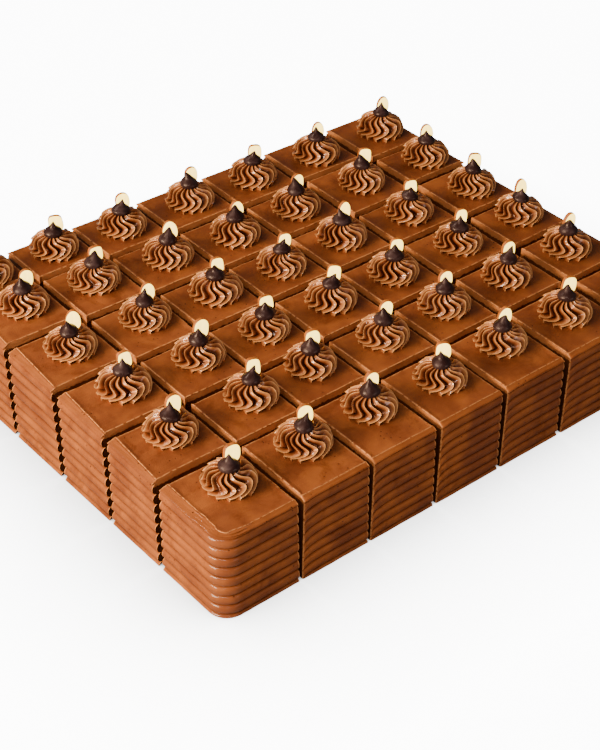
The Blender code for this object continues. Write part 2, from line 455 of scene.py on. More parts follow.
# The rounding over the top groove: share of its height, then how far in on the sides that face
# along X and on those that face along Y.
BAND = (
    (0.05, 0.0012, 0.0007),
    (0.14, 0.0007, 0.0003),
    (0.3, 0.0004, 0.0001),
    (0.42, 0.0009, 0.0004),
    (0.54, 0.0019, 0.0009),
    (0.62, 0.0029, 0.0014),
    (0.72, 0.0038, 0.0019),
    (0.84, 0.0047, 0.0024),
    (0.93, 0.0054, 0.0027),
    (1.0, 0.006, 0.003),
)
FINE_BAND_STEPS = 34
BAND_GROOVE_SHADE = 0.4  # painted shade at the foot of the band, up to this share of it
BAND_GROOVE_END = 0.1
RIM_RISE = (0.35, 0.6)  # shares of the band's height between which its painted pale rim highlight begins
NARROW_RIM = 0.55  # width of the rim at a portion's front end against its back end
# The ripples where the comb was lifted off: place and reach from the lowest corner.
SMEAR_PLACE = np.array((0.006, 0.003))
SMEAR_REACH = np.array((0.014, 0.019))
SMEAR_DEPTH = 0.0019
SMEAR_RISE = (0.1, 0.35)
SMEAR_NOISE = (1.1, 0.006, 17)
SMEAR_WAVES = 4.2  # up the band
SMEAR_WAVES_ALONG = 60.0  # in a metre
# Heights of the rings on the portions without an outer side.
INNER_SHARES = (0.0, 0.25, 0.5, 0.65, 0.76, 0.84, 0.89, 0.93, 0.96, 0.985, 1.0)

# The knife's faces: crumbs of two sizes, waves, and how smooth the faces to the left are.
CRUMBLE = ((1.0, 0.0028), (0.6, 0.0013))
FINE_CRUMB_SEED = 11
WAVES = (0.8, 0.011)
ICING_CRUMBLE = 0.3
SPONGE_CRUMBLE = 0.9
LEFT_SMEAR = 0.4
END_TAPER = 0.0022
SKIN_UNEVENNESS = ((0.0001, 0.006, 21), (0.00006, 0.0019, 22))

# The lip round the top: its rings' turns and how pale the icing is drawn there, partly worn icing and
# partly painted highlight on the rounding.
LIP_STEPS = ((0.0, 0.15), (20.0, 0.3), (40.0, 0.6), (60.0, 1.0), (76.0, 1.0), (90.0, 0.4))
ICED_LIP = 0.0003
CUT_LIP = 0.0006
RAGGED_LIP = 0.0002
RAGGED_CELL = 0.0022
TOP_SHARES = (0.03, 0.06, 0.1, 0.15, 0.21, 0.28, 0.36, 0.45, 0.55, 0.66, 0.78)
TOP_SAG = 0.0003
TOP_SAG_START = 0.1
TOP_RELIEF = ((0.00022, 0.016, 31), (0.00008, 0.006, 32))
# width of the paler upright edges: worn icing and painted highlight
WORN_AND_LIT_EDGE = 0.0004
CORNER_SHINE = 3.2
SMEAR_SHINE = 2.0
SMEAR_SHINE_REACH = 1.2


def side_marks(low, high, fine_low, fine_high):
    """Distances along a side at which it has points, closer together next to an edge."""
    marks = np.array(EDGE_MARKS)
    first = low + marks if fine_low else np.array((low,))
    last = (high - marks if fine_high else np.array((high,)))[::-1]
    count = max(2, round((last[0] - first[-1]) / SPACING))
    return np.concatenate((first, np.linspace(first[-1], last[0], count + 1)[1:-1], last))


class Outline:
    """The loop of points round a portion, anticlockwise from above.

    Points of the cake's own sides move in along their facing. Points of a cut side stay on the
    line between the two ends of that side.
    """

    def __init__(self, block, portion):
        self.plan, self.facing, self.side, self.from_left, self.from_end = [], [], [], [], []
        self.spans = []
        outer, corners = portion.outer, portion.corners
        first = next((side for side in range(4) if outer[side] and not outer[side - 1]), 0)
        for side in ((first + step) % 4 for step in range(4)):
            ends = corners[side], corners[(side + 1) % 4]
            round_ends = outer[side - 1], outer[(side + 1) % 4]
            if outer[side]:
                self.add_outer_side(side, *ends, *round_ends, block.corner_radius)
            else:
                self.add_cut_side(side, *ends, round_ends[0])
        self.plan, self.facing = np.array(self.plan), np.array(self.facing)
        self.side = np.array(self.side)
        self.from_left, self.from_end = np.array(self.from_left), np.array(self.from_end)
        self.count = len(self.plan)
        self.is_outer = np.abs(self.facing).sum(axis=1) > 0
        self.way = np.where(self.is_outer[:, None], self.facing, FACING[self.side])
        self.flatness = np.abs(self.way[:, 1])  # 1 on the sides that face along Y, 0 on the others
        self.faces_left = self.way[:, 0] < -0.5
        low, high = self.plan.min(axis=0), self.plan.max(axis=0)
        part = (self.plan - low) / (high - low)
        is_cut = 1.0 - np.array(outer)
        self.lean = np.stack(
            (
                part[:, 0] * is_cut[RIGHT] - (1 - part[:, 0]) * is_cut[LEFT],
                part[:, 1] * is_cut[BACK] - (1 - part[:, 1]) * is_cut[FRONT],
            ),
            axis=1,
        )

    def add(self, place, facing, side, from_left=FAR, from_end=FAR):
        """Adds one point, with its distances from its side's left end and nearest end."""
        self.plan.append(place)
        self.facing.append(facing)
        self.side.append(side)
        self.from_left.append(from_left)
        self.from_end.append(from_end)

    def add_outer_side(self, side, start, end, round_start, round_end, radius):
        """One of the cake's own sides and, where it meets another, the rounding between them."""
        length = np.linalg.norm(end - start)
        along = (end - start) / length
        low, high = radius * round_start, length - radius * round_end
        for mark in side_marks(low, high, not round_start, not round_end):
            left = FAR if round_start else mark
            right = FAR if round_end else length - mark
            self.add(start + along * mark, FACING[side], side, left, min(left, right))
        if round_end:
            centre = end - (along + FACING[side]) * radius
            for step in range(1, ARC_STEPS):
                angle = math.pi / 2 * step / ARC_STEPS
                facing = FACING[side] * math.cos(angle) + along * math.sin(angle)
                self.add(centre + facing * radius, facing, side)

    def add_cut_side(self, side, start, end, outer_before):
        """A side that the knife made."""
        if not outer_before:
            self.add(start, (0.0, 0.0), side, from_end=0.0)
        length = np.linalg.norm(end - start)
        marks = side_marks(0.0, length, True, True)[1:-1]
        first = len(self.plan)
        for mark in marks:
            self.add(start, (0.0, 0.0), side, from_end=min(mark, length - mark))
        self.spans.append((first, len(marks), marks / length))

    def between_ends(self, values):
        """Values (levels, points, ...) with those of cut sides set between their two ends."""
        for first, count, shares in self.spans:
            start = values[:, first - 1]
            end = values[:, (first + count) % self.count]
            part = shares.reshape(1, -1, *[1] * (values.ndim - 2))
            values[:, first : first + count] = start[:, None] + (end - start)[:, None] * part
        return values

    def lay(self, insets, leans):
        """Plan places (levels, points, 2): the cake's own sides moved in, the cut ones out."""
        moved = self.plan[None] - self.facing[None] * insets[..., None]
        return self.between_ends(moved + self.lean[None] * leans[..., None])


def comb_levels():
    """Heights of the rings over the combed part, in pitches from its lowest groove."""
    steps = [groove + step for groove in range(GROOVES - 1) for step in RIDGE_STEPS]
    return np.array([*FOOT_STEPS, *steps, GROOVES - 1.0])


def ridge_section(phase, parts):
    """How far in a ridge lies, from 0 on its crest to its depth in a groove."""
    return sum(weight * phase**exponent for weight, exponent in parts)


def comb_insets(block, outline, pitches):
    """How far in the combed rings lie, and their painted shade, up to 1 in a groove."""
    flatness = outline.flatness
    phase = np.abs(2 * (pitches % 1) - 1)[:, None]
    section = ridge_section(phase, ROUND_RIDGE) * (1 - flatness)
    section = section + ridge_section(phase, FLAT_RIDGE) * flatness
    place = plan_points(outline.plan, 0.0)[None] + pitches[:, None, None] * RIDGE_NOISE_STEP
    depth = block.ridge_depth * (1 + layers(place, *RIDGE_UNEVENNESS))
    present = 1 - flatness * (1 - smooth_step(*RIDGE_FADE, outline.from_left))
    # Painted shade: the ridges darken from their upper slopes to their undersides, and most in the
    # grooves.
    under = (1 - smooth_step(*UNDERSIDE, pitches % 1))[:, None]
    under = under * (UNDERSIDE_SHADE - FLAT_UNDERSIDE_LOSS * flatness)
    dark = np.maximum(phase ** (GROOVE_POWER + FLAT_GROOVE_POWER * flatness), under)
    return depth * section * present, dark * present


def band_steps(portion):
    """The rounding over the top groove, finer where the icing is rippled."""
    band = np.array(BAND)
    if not portion.nearest:
        return band
    finer = np.linspace(band[0, 0], 1, FINE_BAND_STEPS)
    return np.stack((finer, *(np.interp(finer, band[:, 0], part) for part in band.T[1:])), axis=-1)


def from_smear(block, plan):
    """How far plan places are from where the comb was lifted off."""
    return plan + np.array((block.length, block.width)) / 2 - SMEAR_PLACE


def smeared(offset, widened=1.0):
    """1 where the comb was lifted off, falling to 0 away from there."""
    return np.exp(-((offset / (widened * SMEAR_REACH)) ** 2).sum(axis=-1))


def ripples(block, plan, shares):
    """How far in the icing is pushed where the comb was lifted off, at places up the band."""
    offset = from_smear(block, plan)
    uneven = layers(plan_points(plan, 0.0), SMEAR_NOISE)
    waves = SMEAR_WAVES * shares[:, None] + uneven + SMEAR_WAVES_ALONG * offset[..., 0]
    present = smeared(offset) * smooth_step(*SMEAR_RISE, shares)[:, None]
    return SMEAR_DEPTH * present * (0.5 + 0.5 * np.sin(2 * math.pi * waves))


def combed_rings(block, portion, outline):
    """The rings with comb marks: shares of the height, insets, painted groove shade and painted rim
    highlight.
    """
    pitches = comb_levels()
    inset, groove = comb_insets(block, outline, pitches)
    band = band_steps(portion)
    low = (LOWEST_GROOVE + GROOVES - 1) / PITCHES
    shares = np.concatenate(((pitches + LOWEST_GROOVE) / PITCHES, low + (1 - low) * band[:, 0]))
    rim = np.concatenate((np.zeros(len(pitches)), smooth_step(*RIM_RISE, band[:, 0])))
    # The flat rim along the left side is widest at each portion's back end.
    back = (outline.plan[:, 1] - outline.plan[:, 1].min()) / np.ptp(outline.plan[:, 1])
    wide = 1.0 if portion.row == 0 else NARROW_RIM + (1 - NARROW_RIM) * back
    band_inset = band[:, 1:2] * wide * (1 - outline.flatness) + band[:, 2:] * outline.flatness
    # Painted shade in the top groove, at the foot of the band.
    band_groove = BAND_GROOVE_SHADE * (band[:, :1] < BAND_GROOVE_END)
    band_groove = np.repeat(band_groove, outline.count, axis=1)
    return shares, np.concatenate((inset, band_inset)), np.concatenate((groove, band_groove)), rim


def plain_rings(outline):
    """The same values for rings without comb marks."""
    levels = len(INNER_SHARES)
    none = np.zeros((levels, outline.count))
    return np.array(INNER_SHARES), none, none, np.zeros(levels)


def comb_strays(outline, plan, shares):
    """How far the points of the iced sides stray up or down from their rings."""
    loose = np.sin(np.pi * np.clip(shares, 0, 1))[:, None] ** 0.5
    dragged = outline.flatness * outline.is_outer * np.exp(-outline.from_left / DRAG_REACH)
    unsteady = layers(plan_points(plan, shares[:, None] * UNSTEADY_STEP), UNSTEADY)
    shift = (unsteady - DRAG_DEPTH * dragged[None]) * loose
    return outline.between_ends(shift * outline.is_outer)


def block_rings(block, portion, outline):
    """Rings of points up the sides of a portion, with their painted groove shade and painted rim
    highlight.
    """
    if any(portion.outer):
        shares, inset, groove, rim = combed_rings(block, portion, outline)
    else:
        shares, inset, groove, rim = plain_rings(outline)
    left_end = 1 - np.clip(outline.from_left / LEFT_ROUNDING, 0, 1)
    inset = inset + LEFT_ROUNDING * outline.flatness * (1 - np.sqrt(1 - 0.98 * left_end**2))
    leans = np.repeat((block.cut_lean * (1 - shares))[:, None], outline.count, axis=1)
    plan = outline.lay(inset, leans)
    z = shares[:, None] * top_height(block, plan[..., 1]) + comb_strays(outline, plan, shares)
    if portion.nearest:
        band = band_steps(portion)[:, 0]
        pushed = ripples(block, plan[-len(band) :], band)
        plan[-len(band) :] -= outline.facing * pushed[..., None]
    return plan, np.maximum(z, 0), np.clip(groove * outline.is_outer, 0, 1), rim


def roughen(block, portion, outline, plan, z, cut):
    """Crumbs and waves on the cut faces, a faint unevenness on the iced ones, always inwards."""
    points = plan_points(plan, z)
    deep = top_height(block, plan[..., 1]) - z
    in_sponge = smooth_step(0.6 * block.icing_depth, block.icing_depth, deep)
    crumbly = sum(
        height * np.abs(noise(points, cell, seed))
        for (height, cell), seed in zip(CRUMBLE, (portion.seed, FINE_CRUMB_SEED))
    )
    waves = WAVES[0] * (0.5 + 0.5 * noise(points, WAVES[1], portion.seed + 1))
    rough = crumbly * (ICING_CRUMBLE + SPONGE_CRUMBLE * in_sponge) + waves
    rough = block.crumb_depth * rough * np.where(outline.faces_left, LEFT_SMEAR, 1.0)
    taper = smooth_step(0, END_TAPER, outline.from_end)
    plan = plan - outline.way * (rough * cut * taper)[..., None]
    skin = sum(height * (1 + noise(points, cell, seed)) for height, cell, seed in SKIN_UNEVENNESS)
    return plan - outline.facing * (skin * (1 - cut))[..., None]


def top_rings(block, portion, outline, edge_plan):
    """Rings over the lip, ragged where the knife went, and in over the top, with heights."""
    lip = np.where(outline.is_outer, ICED_LIP, CUT_LIP)
    bits = noise(plan_points(edge_plan, 0.0), RAGGED_CELL, portion.seed + 5)
    ragged = RAGGED_LIP * np.maximum(0, bits)
    rings, heights = [], []
    for degrees, _ in LIP_STEPS:
        angle = math.radians(degrees)
        ring = edge_plan - outline.way * (lip * (1 - math.cos(angle)))[:, None]
        level = top_height(block, ring[:, 1]) - lip * (1 - math.sin(angle))
        rings.append(ring)
        heights.append(level - ragged * math.sin(2 * angle))
    lip_ring = rings[-1]
    for inner in TOP_SHARES:
        ring = lip_ring + (portion.middle - lip_ring) * inner
        sag = TOP_SAG - layers(plan_points(ring, 0.0), *TOP_RELIEF)
        rings.append(ring)
        heights.append(top_height(block, ring[:, 1]) - sag * min(1.0, inner / TOP_SAG_START))
    return np.stack(rings), np.stack(heights)


def padded(values, levels):
    """Values (rings, points) with rings of noughts over them, up to a number of levels."""
    return np.concatenate((values, np.zeros((levels - len(values), values.shape[1]))))


def worn_and_lit_edges(outline, side_levels, levels):
    """Paler lines where the knife left a thin edge, at the ends of the iced sides and along the lip:
    partly worn icing, partly painted highlight on the rounded edges.
    """
    upright = np.exp(-((outline.from_end / WORN_AND_LIT_EDGE) ** 2)) * outline.is_outer
    edge = padded(np.repeat(upright[None], side_levels, axis=0), levels)
    for step, (_, wear) in enumerate(LIP_STEPS, start=side_levels - 1):
        edge[step] = wear
    return edge


def wetness(block, portion, outline, rings, rim):
    """Where the icing shines: where the comb turned round a corner or was lifted off."""
    corner = np.clip(CORNER_SHINE * np.abs(outline.facing[:, 0] * outline.facing[:, 1]), 0, 1)
    wet = np.repeat(corner[None], len(rings), axis=0)
    if portion.nearest:
        near = smeared(from_smear(block, rings), SMEAR_SHINE_REACH)
        wet = np.maximum(wet, np.clip(SMEAR_SHINE * near, 0, 1) * (rim > 0))
    return wet


def block_form(block, portion):
    """A portion's iced block: rings up its sides, round its lip and in over its top."""
    outline = Outline(block, portion)
    plan, z, groove, rim = block_rings(block, portion, outline)
    side_levels = len(plan)
    cut = np.repeat((~outline.is_outer)[None].astype(float), side_levels, axis=0)
    plan = roughen(block, portion, outline, plan, z, cut)
    top_plan, top_z = top_rings(block, portion, outline, plan[-1])
    rings, heights = np.concatenate((plan[:-1], top_plan)), np.concatenate((z[:-1], top_z))
    levels = len(rings)
    cut[-1] *= 0.5
    rim = padded(rim[:, None] * outline.is_outer, levels)
    form = Form()
    form.add(
        plan_points(rings, heights),
        closed_rings(levels, outline.count),
        cut=padded(cut, levels),
        groove=padded(groove, levels),
        edge=worn_and_lit_edges(outline, side_levels, levels),
        rim=rim,
        deep=top_height(block, rings[..., 1]) - heights,
        left=np.repeat(outline.faces_left[None].astype(float), levels, axis=0),
        wet=wetness(block, portion, outline, rings, rim),
    )
    return form


class SHEETCAKE_OT_blocks(bpy.types.Operator):
    """Ice and cut the portions"""

    bl_idname = "sheetcake.blocks"
    bl_label = "Ice and Cut the Portions"

    def execute(self, context):
        cake = context.scene.sheet_cake
        material = icing_material(cake.colours, cake.block)
        for portion in portions(cake.block):
            name = "iced_" + portion.name
            mesh = block_form(cake.block, portion).mesh(name)
            place_piece(name, mesh, material, [portion.name], BLOCK_SHARP)
        return {"FINISHED"}


# ---------------------------------------------------------------- the toppings' places

ROSETTE_STRAY = 0.002
ROSETTE_SIZE_STRAY = 0.03
# A rosette's offset from its portion's middle, and how much smaller it gets towards +X and +Y.
ROSETTE_SHIFT = (0.0035, 0.0035)
SHIFT_FALL_X = 0.0032
SHIFT_FALL_Y = (0.0023, 0.0046)
ROSETTE_MARGIN = 0.0185
NUT_WIDTHS = (0.92, 1.06)
NUT_LENGTHS = (0.9, 1.04)
NUT_FACING = -17.0
NUT_FACING_STRAY = 12.0
# The solids draw two numbers for each drop's tip, which here are drawn and not used.
TIP_DRAWS = 2


def within(value, reach):
    """The value, or the nearest one no further than a reach from nought."""
    return max(-reach, min(reach, value))


class Topping:
    """Where a portion's rosette, drop and nut stand and how they differ from the next one's."""

    def __init__(self, cake, portion):
        block, rosette = cake.block, cake.rosette
        draw = random.Random(TOPPING_SEED + portion.seed - SEED)
        along = 2 * portion.middle[0] / block.length
        back = 2 * portion.middle[1] / block.width
        x = portion.middle[0] + ROSETTE_SHIFT[0] - SHIFT_FALL_X * along * (1 - back)
        y = portion.middle[1] + ROSETTE_SHIFT[1] - SHIFT_FALL_Y[0] * along - SHIFT_FALL_Y[1] * back
        x += draw.uniform(-ROSETTE_STRAY, ROSETTE_STRAY)
        y += draw.uniform(-ROSETTE_STRAY, ROSETTE_STRAY)
        x = within(x, block.length / 2 - ROSETTE_MARGIN)
        y = within(y, block.width / 2 - ROSETTE_MARGIN)
        far = (x / block.length + y / block.width + 1) / 2
        size_share = 1 + draw.uniform(-ROSETTE_SIZE_STRAY, ROSETTE_SIZE_STRAY)
        self.rise = size_share * (1 + rosette.rise * far)
        self.spread = size_share * (1 + rosette.spread * far)
        self.start = math.radians(draw.uniform(0, 360))
        for _ in range(TIP_DRAWS):
            draw.random()
        self.nut_width = draw.uniform(*NUT_WIDTHS)
        self.nut_length = draw.uniform(*NUT_LENGTHS)
        self.nut_facing = NUT_FACING + draw.uniform(-NUT_FACING_STRAY, NUT_FACING_STRAY)
        self.seat = self.rise * rosette.height
        self.stand = Matrix.Translation((x, y, top_height(block, y))) @ top_tilt(block)
        self.draw = draw


# ---------------------------------------------------------------- the rosettes

# Angles up a rosette's dome from its foot, and shares across one petal from valley to valley.
DOME_STEPS = np.radians((*range(-22, 62, 4), 62, 65, 68, 71, 76, 81))
PETAL_STEPS = np.array((0.0, 0.05, 0.12, 0.21, 0.31, 0.42, 0.53, 0.62, 0.68, 0.715, 0.745, 0.79, 0.88))
CREST_SHARE = 0.73
FOOT = -0.0012
FOOT_SHARE = 0.97
SWAY_FACING = math.radians(230.0)
ROSETTE_SHARP = 75.0
# How one rosette differs from the next: crests, swing and lean.
EXTRA_CRESTS = (-1, 0, 0, 1)
TWISTS = (0.75, 1.15)
LEAN_STRAY = 8.0
# How one petal differs from the next: sideways, in the depth of its valley and in length.
PETAL_STRAYS = ((-0.16, 0.16), (0.75, 1.15), (-1, 1))
PETAL_WAVE = 0.05
PETAL_LENGTH = 0.0005
FLARE = 0.0005  # how much wider a rosette is where it meets the icing
FLARE_HEIGHT = 0.0012
# Valleys at the seat are this share as deep as those at the foot.
SEAT_VALLEY = 0.34
WOBBLE = 0.022
WOBBLE_CELL = 0.0035
WOBBLE_RISE = 0.0002
CREST_WEAR = 0.012
CREST_WEAR_CELL = 0.0011
CREST_WEAR_SEED = 9


def petal_shape(part):
    """How far out a petal stands, 0 in the valley and 1 at its crest, for shares across it."""
    rising = np.clip(part / CREST_SHARE, 0, 1)
    up = 0.78 * np.sin(rising * math.pi / 2) ** 1.1 + 0.22 * rising**7
    down = (1 - np.clip((part - CREST_SHARE) / (1 - CREST_SHARE), 0, 1)) ** 1.25
    return np.where(part <= CREST_SHARE, up, down)


def ridge_swing(down, angle):
    """How far a ridge swings aside on its way down, as a share of the greatest swing.

    Ridges leave the seat the other way first, swing furthest at about half their way and come
    back past their start. The nozzle's sway makes those on one side turn later than the others.
    """
    late = 0.5 - 0.5 * np.sin(angle - SWAY_FACING)
    peak = 0.32 + 0.34 * late
    rising = np.clip(down / peak, 0, 1)
    other_way = 0.4 * late * np.sin(math.pi * rising) ** 2 * (1 - rising)
    out = np.sin(math.pi / 2 * rising) ** (1 + 1.3 * late) - other_way
    back = np.clip((down - peak) / (1 - peak), 0, 1)
    return np.where(down < peak, out, 1 - 1.3 * back**1.6)


def rosette_form(form, cake, topping):
    """Pipes one rosette: petals that swing to one side and back on their way to the seat."""
    rosette, draw = cake.rosette, topping.draw
    crests = rosette.crests + draw.choice(EXTRA_CRESTS)
    petal = np.repeat(np.arange(crests), len(PETAL_STEPS))
    across = np.tile(PETAL_STEPS, crests)
    strays = [[draw.uniform(*reach) for _ in range(crests)] for reach in PETAL_STRAYS]
    aside, deeper, longer = np.array(strays)[:, petal]
    twist = rosette.twist * draw.uniform(*TWISTS)
    lean = math.radians(draw.uniform(-LEAN_STRAY, LEAN_STRAY))

    # The dome is part of an ellipse that is widest a little over the foot.
    seat_turn = math.acos(rosette.seat_radius / rosette.radius)
    dome_height = rosette.height / (math.sin(seat_turn) - math.sin(DOME_STEPS[0]))
    turn_up = DOME_STEPS[:, None] * np.ones(len(petal))
    radius = rosette.radius * topping.spread * np.cos(turn_up)
    height = dome_height * topping.rise * (np.sin(turn_up) - math.sin(DOME_STEPS[0]))
    up = np.clip(height / (rosette.height * topping.rise), 0, 1)

    down = np.clip((seat_turn - turn_up) / (seat_turn - 0.4 * DOME_STEPS[0]), 0, 1)
    start = topping.start + 2 * math.pi * petal / crests
    along = petal + across + aside * np.sin(math.pi * across)
    angle = topping.start + 2 * math.pi * along / crests
    angle = angle + twist * ridge_swing(down, start) + lean * down
    angle = angle + PETAL_WAVE * longer * np.sin(3 * up + petal)

    # Valleys lie in from the dome, square to it, and are shallower towards the seat.
    stand_out = petal_shape(across) * np.ones_like(up)
    valley = SEAT_VALLEY + (1 - SEAT_VALLEY) * np.clip((1 - up) * 2.2, 0, 1) ** 0.7
    sunk = rosette.valley * deeper * valley * (1 - stand_out)
    normal_out, normal_up = np.cos(turn_up) / topping.rise, np.sin(turn_up)
    scale = np.hypot(normal_out, normal_up)
    flare = FLARE * np.exp(-height / FLARE_HEIGHT)
    out = radius + flare - sunk * normal_out / scale + PETAL_LENGTH * longer * (1 - up)
    points = np.stack(
        (out * np.cos(angle), out * np.sin(angle), height - sunk * normal_up / scale), axis=-1
    )
    wobble = noise(points + topping.seat, WOBBLE_CELL, int(topping.start * 100))
    worn = noise(points + topping.seat, CREST_WEAR_CELL, CREST_WEAR_SEED) * stand_out**4
    points[..., :2] *= (1 + WOBBLE * wobble + CREST_WEAR * worn)[..., None]
    points[..., 2] += WOBBLE_RISE * wobble * (up > 0.02)

    foot = points[:1] * (FOOT_SHARE, FOOT_SHARE, 0.0) + (0.0, 0.0, FOOT)
    points = np.concatenate((foot, points))
    levels, count = points.shape[:2]
    turned = points @ np.array(topping.stand.to_3x3()).T + np.array(topping.stand.translation)
    crest = np.concatenate((stand_out[:1], stand_out))
    raised = np.concatenate((up[:1], up))
    form.add(turned, closed_rings(levels, count), crest=crest, raised=raised)


class SHEETCAKE_OT_rosettes(bpy.types.Operator):
    """Pipe a rosette on every portion"""

    bl_idname = "sheetcake.rosettes"
    bl_label = "Pipe the Rosettes"

    def execute(self, context):
        cake = context.scene.sheet_cake
        material = piped_material(cake.colours)
        whole = portions(cake.block)
        for column in range(COLUMNS):
            form = Form()
            for portion in (one for one in whole if one.column == column):
                rosette_form(form, cake, Topping(cake, portion))
            name = f"rosettes_{column + 1}"
            place_piece(name, form.mesh(name), material, sharp=ROSETTE_SHARP)
        return {"FINISHED"}


# ---------------------------------------------------------------- drops, nuts and crumbs


def tree_input(tree, name, kind, default=None):
    """A named input of a node group."""
    made = tree.interface.new_socket(name, in_out="INPUT", socket_type=kind)
    if default is not None:
        made.default_value = default


def fill(tree, node, values):
    """Puts numbers or links on a node's named or numbered inputs."""
    for name, value in values.items():
        if isinstance(value, bpy.types.NodeSocket):
            tree.links.new(value, node.inputs[name])
        else:
            node.inputs[name].default_value = value


def add_node(tree, kind, values=None, **settings):
    """A node with its settings and with its inputs filled."""
    made = tree.nodes.new(kind)
    for name, value in settings.items():
        setattr(made, name, value)
    fill(tree, made, values or {})
    return made


def geometry_tree(name, inputs=()):
    """A geometry tree that takes a mesh, models, a material and more, and what it is given."""
    tree = bpy.data.node_groups.new(name, "GeometryNodeTree")
    tree_input(tree, "Geometry", "NodeSocketGeometry")
    tree_input(tree, "Models", "NodeSocketCollection")
    tree_input(tree, "Material", "NodeSocketMaterial")
    for title, kind, default in inputs:
        tree_input(tree, title, kind, default)
    tree.interface.new_socket("Geometry", in_out="OUTPUT", socket_type="NodeSocketGeometry")
    return tree, add_node(tree, "NodeGroupInput").outputs


def finish_tree(tree, given, points, euler, placing):
    """Puts a model on every point, and ends the tree: all becomes mesh and takes one material."""
    models = add_node(
        tree,
        "GeometryNodeCollectionInfo",
        {"Collection": given["Models"], "Separate Children": True, "Reset Children": True},
    )
    rotation = add_node(tree, "FunctionNodeEulerToRotation", {"Euler": euler})
    values = {
        "Points": points,
        "Instance": models.outputs[0],
        "Pick Instance": True,
        "Rotation": rotation.outputs[0],
        **placing,
    }
    placed = add_node(tree, "GeometryNodeInstanceOnPoints", values)
    real = add_node(tree, "GeometryNodeRealizeInstances", {"Geometry": placed.outputs[0]})
    dressed = add_node(
        tree, "GeometryNodeSetMaterial", {"Geometry": real.outputs[0], "Material": given["Material"]}
    )
    add_node(tree, "NodeGroupOutput", {0: dressed.outputs[0]})
    return tree


def named_attribute(tree, name, kind):
    """The value of a point attribute in a geometry tree."""
    made = add_node(tree, "GeometryNodeInputNamedAttribute", {"Name": name}, data_type=kind)
    return made.outputs["Attribute"]


def placing_tree():
    """Geometry nodes that put one of several models on every point, turned and sized by it."""
    tree, given = geometry_tree("Place Toppings")
    placing = {
        "Instance Index": named_attribute(tree, "pick", "INT"),
        "Scale": named_attribute(tree, "sized", "FLOAT_VECTOR"),
    }
    facing = named_attribute(tree, "facing", "FLOAT_VECTOR")
    return finish_tree(tree, given, given["Geometry"], facing, placing)


def scatter_tree():
    """Geometry nodes that strew small models over faces, at random turns and sizes."""
    inputs = (
        ("Density", "NodeSocketFloat", 100.0),
        ("Smallest", "NodeSocketFloat", 0.4),
        ("Largest", "NodeSocketFloat", 1.0),
        ("Seed", "NodeSocketInt", SEED),
    )
    tree, given = geometry_tree("Strew Crumbs", inputs)
    spots = add_node(
        tree,
        "GeometryNodeDistributePointsOnFaces",
        {"Mesh": given["Geometry"], "Density": given["Density"], "Seed": given["Seed"]},
    )
    turns = add_node(
        tree,
        "FunctionNodeRandomValue",
        {"Max": (math.tau, math.tau, math.tau), "Seed": given["Seed"]},
        data_type="FLOAT_VECTOR",
    )
    sizes = add_node(
        tree,
        "FunctionNodeRandomValue",
        {2: given["Smallest"], 3: given["Largest"], "Seed": given["Seed"]},
        data_type="FLOAT",
    )
    points = spots.outputs["Points"]
    return finish_tree(tree, given, points, turns.outputs[0], {"Scale": sizes.outputs[1]})


def grown_mesh(name, base, tree, values):
    """The plain mesh that a geometry tree makes from a base mesh."""
    holder = bpy.data.objects.new(name, base)
    bpy.context.scene.collection.objects.link(holder)
    modifier = holder.modifiers.new(name, "NODES")
    modifier.node_group = tree
    sockets = {item.name: item.identifier for item in tree.interface.items_tree if item.in_out == "INPUT"}
    for title, value in values.items():
        modifier[sockets[title]] = value
    graph = bpy.context.evaluated_depsgraph_get()
    graph.update()
    made = bpy.data.meshes.new_from_object(
        holder.evaluated_get(graph), preserve_all_data_layers=True, depsgraph=graph
    )
    made.name = name
    bpy.data.objects.remove(holder)
    bpy.data.meshes.remove(base)
    return made


def place_grown(name, base, meshes, tree, material, slot, sharp=None, **values):
    """Grows a piece from a base mesh, models and a geometry tree, and puts it in the scene."""
    models = bpy.data.collections.new(name)
    for mesh in meshes:
        models.objects.link(bpy.data.objects.new(mesh.name, mesh))
    given = {"Models": models, "Material": material, **values}
    place_piece(name, grown_mesh(name, base, tree, given), material, sharp=sharp)
    for model in list(models.objects):
        bpy.data.objects.remove(model)
    bpy.data.collections.remove(models)


def topping_points(cake, stand_of, seed_step):
    """A loose point for one topping of every portion, with its turn, its size and its model."""
    stands = [
        stand_of(Topping(cake, portion), random.Random(portion.seed + seed_step))
        for portion in portions(cake.block)
    ]
    places, sizes, picks = zip(*stands)
    mesh = bpy.data.meshes.new("topping_points")
    mesh.from_pydata([place.translation for place in places], [], [])
    for name, kind, field, values in (
        ("facing", "FLOAT_VECTOR", "vector", [place.to_euler() for place in places]),
        ("sized", "FLOAT_VECTOR", "vector", sizes),
        ("pick", "INT", "value", picks),
    ):
        kept = mesh.attributes.new(name, kind, "POINT")
        kept.data.foreach_set(field, np.ravel(values).tolist())
    return mesh


# A drop's outline from the middle of its foot to its tip: shares of its radius and height.
DROP_OUTLINE = (
    (0.6, -0.02),
    (0.8, 0.0),
    (0.92, 0.06),
    (0.98, 0.13),
    (1.0, 0.2),
    (0.97, 0.28),
    (0.88, 0.36),
    (0.75, 0.44),
    (0.61, 0.51),
    (0.48, 0.58),
    (0.37, 0.66),
    (0.28, 0.75),
    (0.2, 0.84),
    (0.12, 0.93),
    (0.04, 1.0),
)
DROP_SIDES = 28
DROP_MODELS = 5
DROP_SEED_STEP = 100
DROP_SUNK = 0.0007
DROP_LEAN = 0.1
DROP_WIDTHS = (0.94, 1.05)
DROP_HEIGHTS = (0.92, 1.06)
TIP_BEND = 0.3
TIP_CURLS = (0.5, 1.6)
TIP_START = 0.75  # share of the height over which the tip curls
WAIST_POWERS = (0.7, 1.15)
WAIST_START = 0.25
DROP_UNEVENNESS = (0.00012, 0.003)


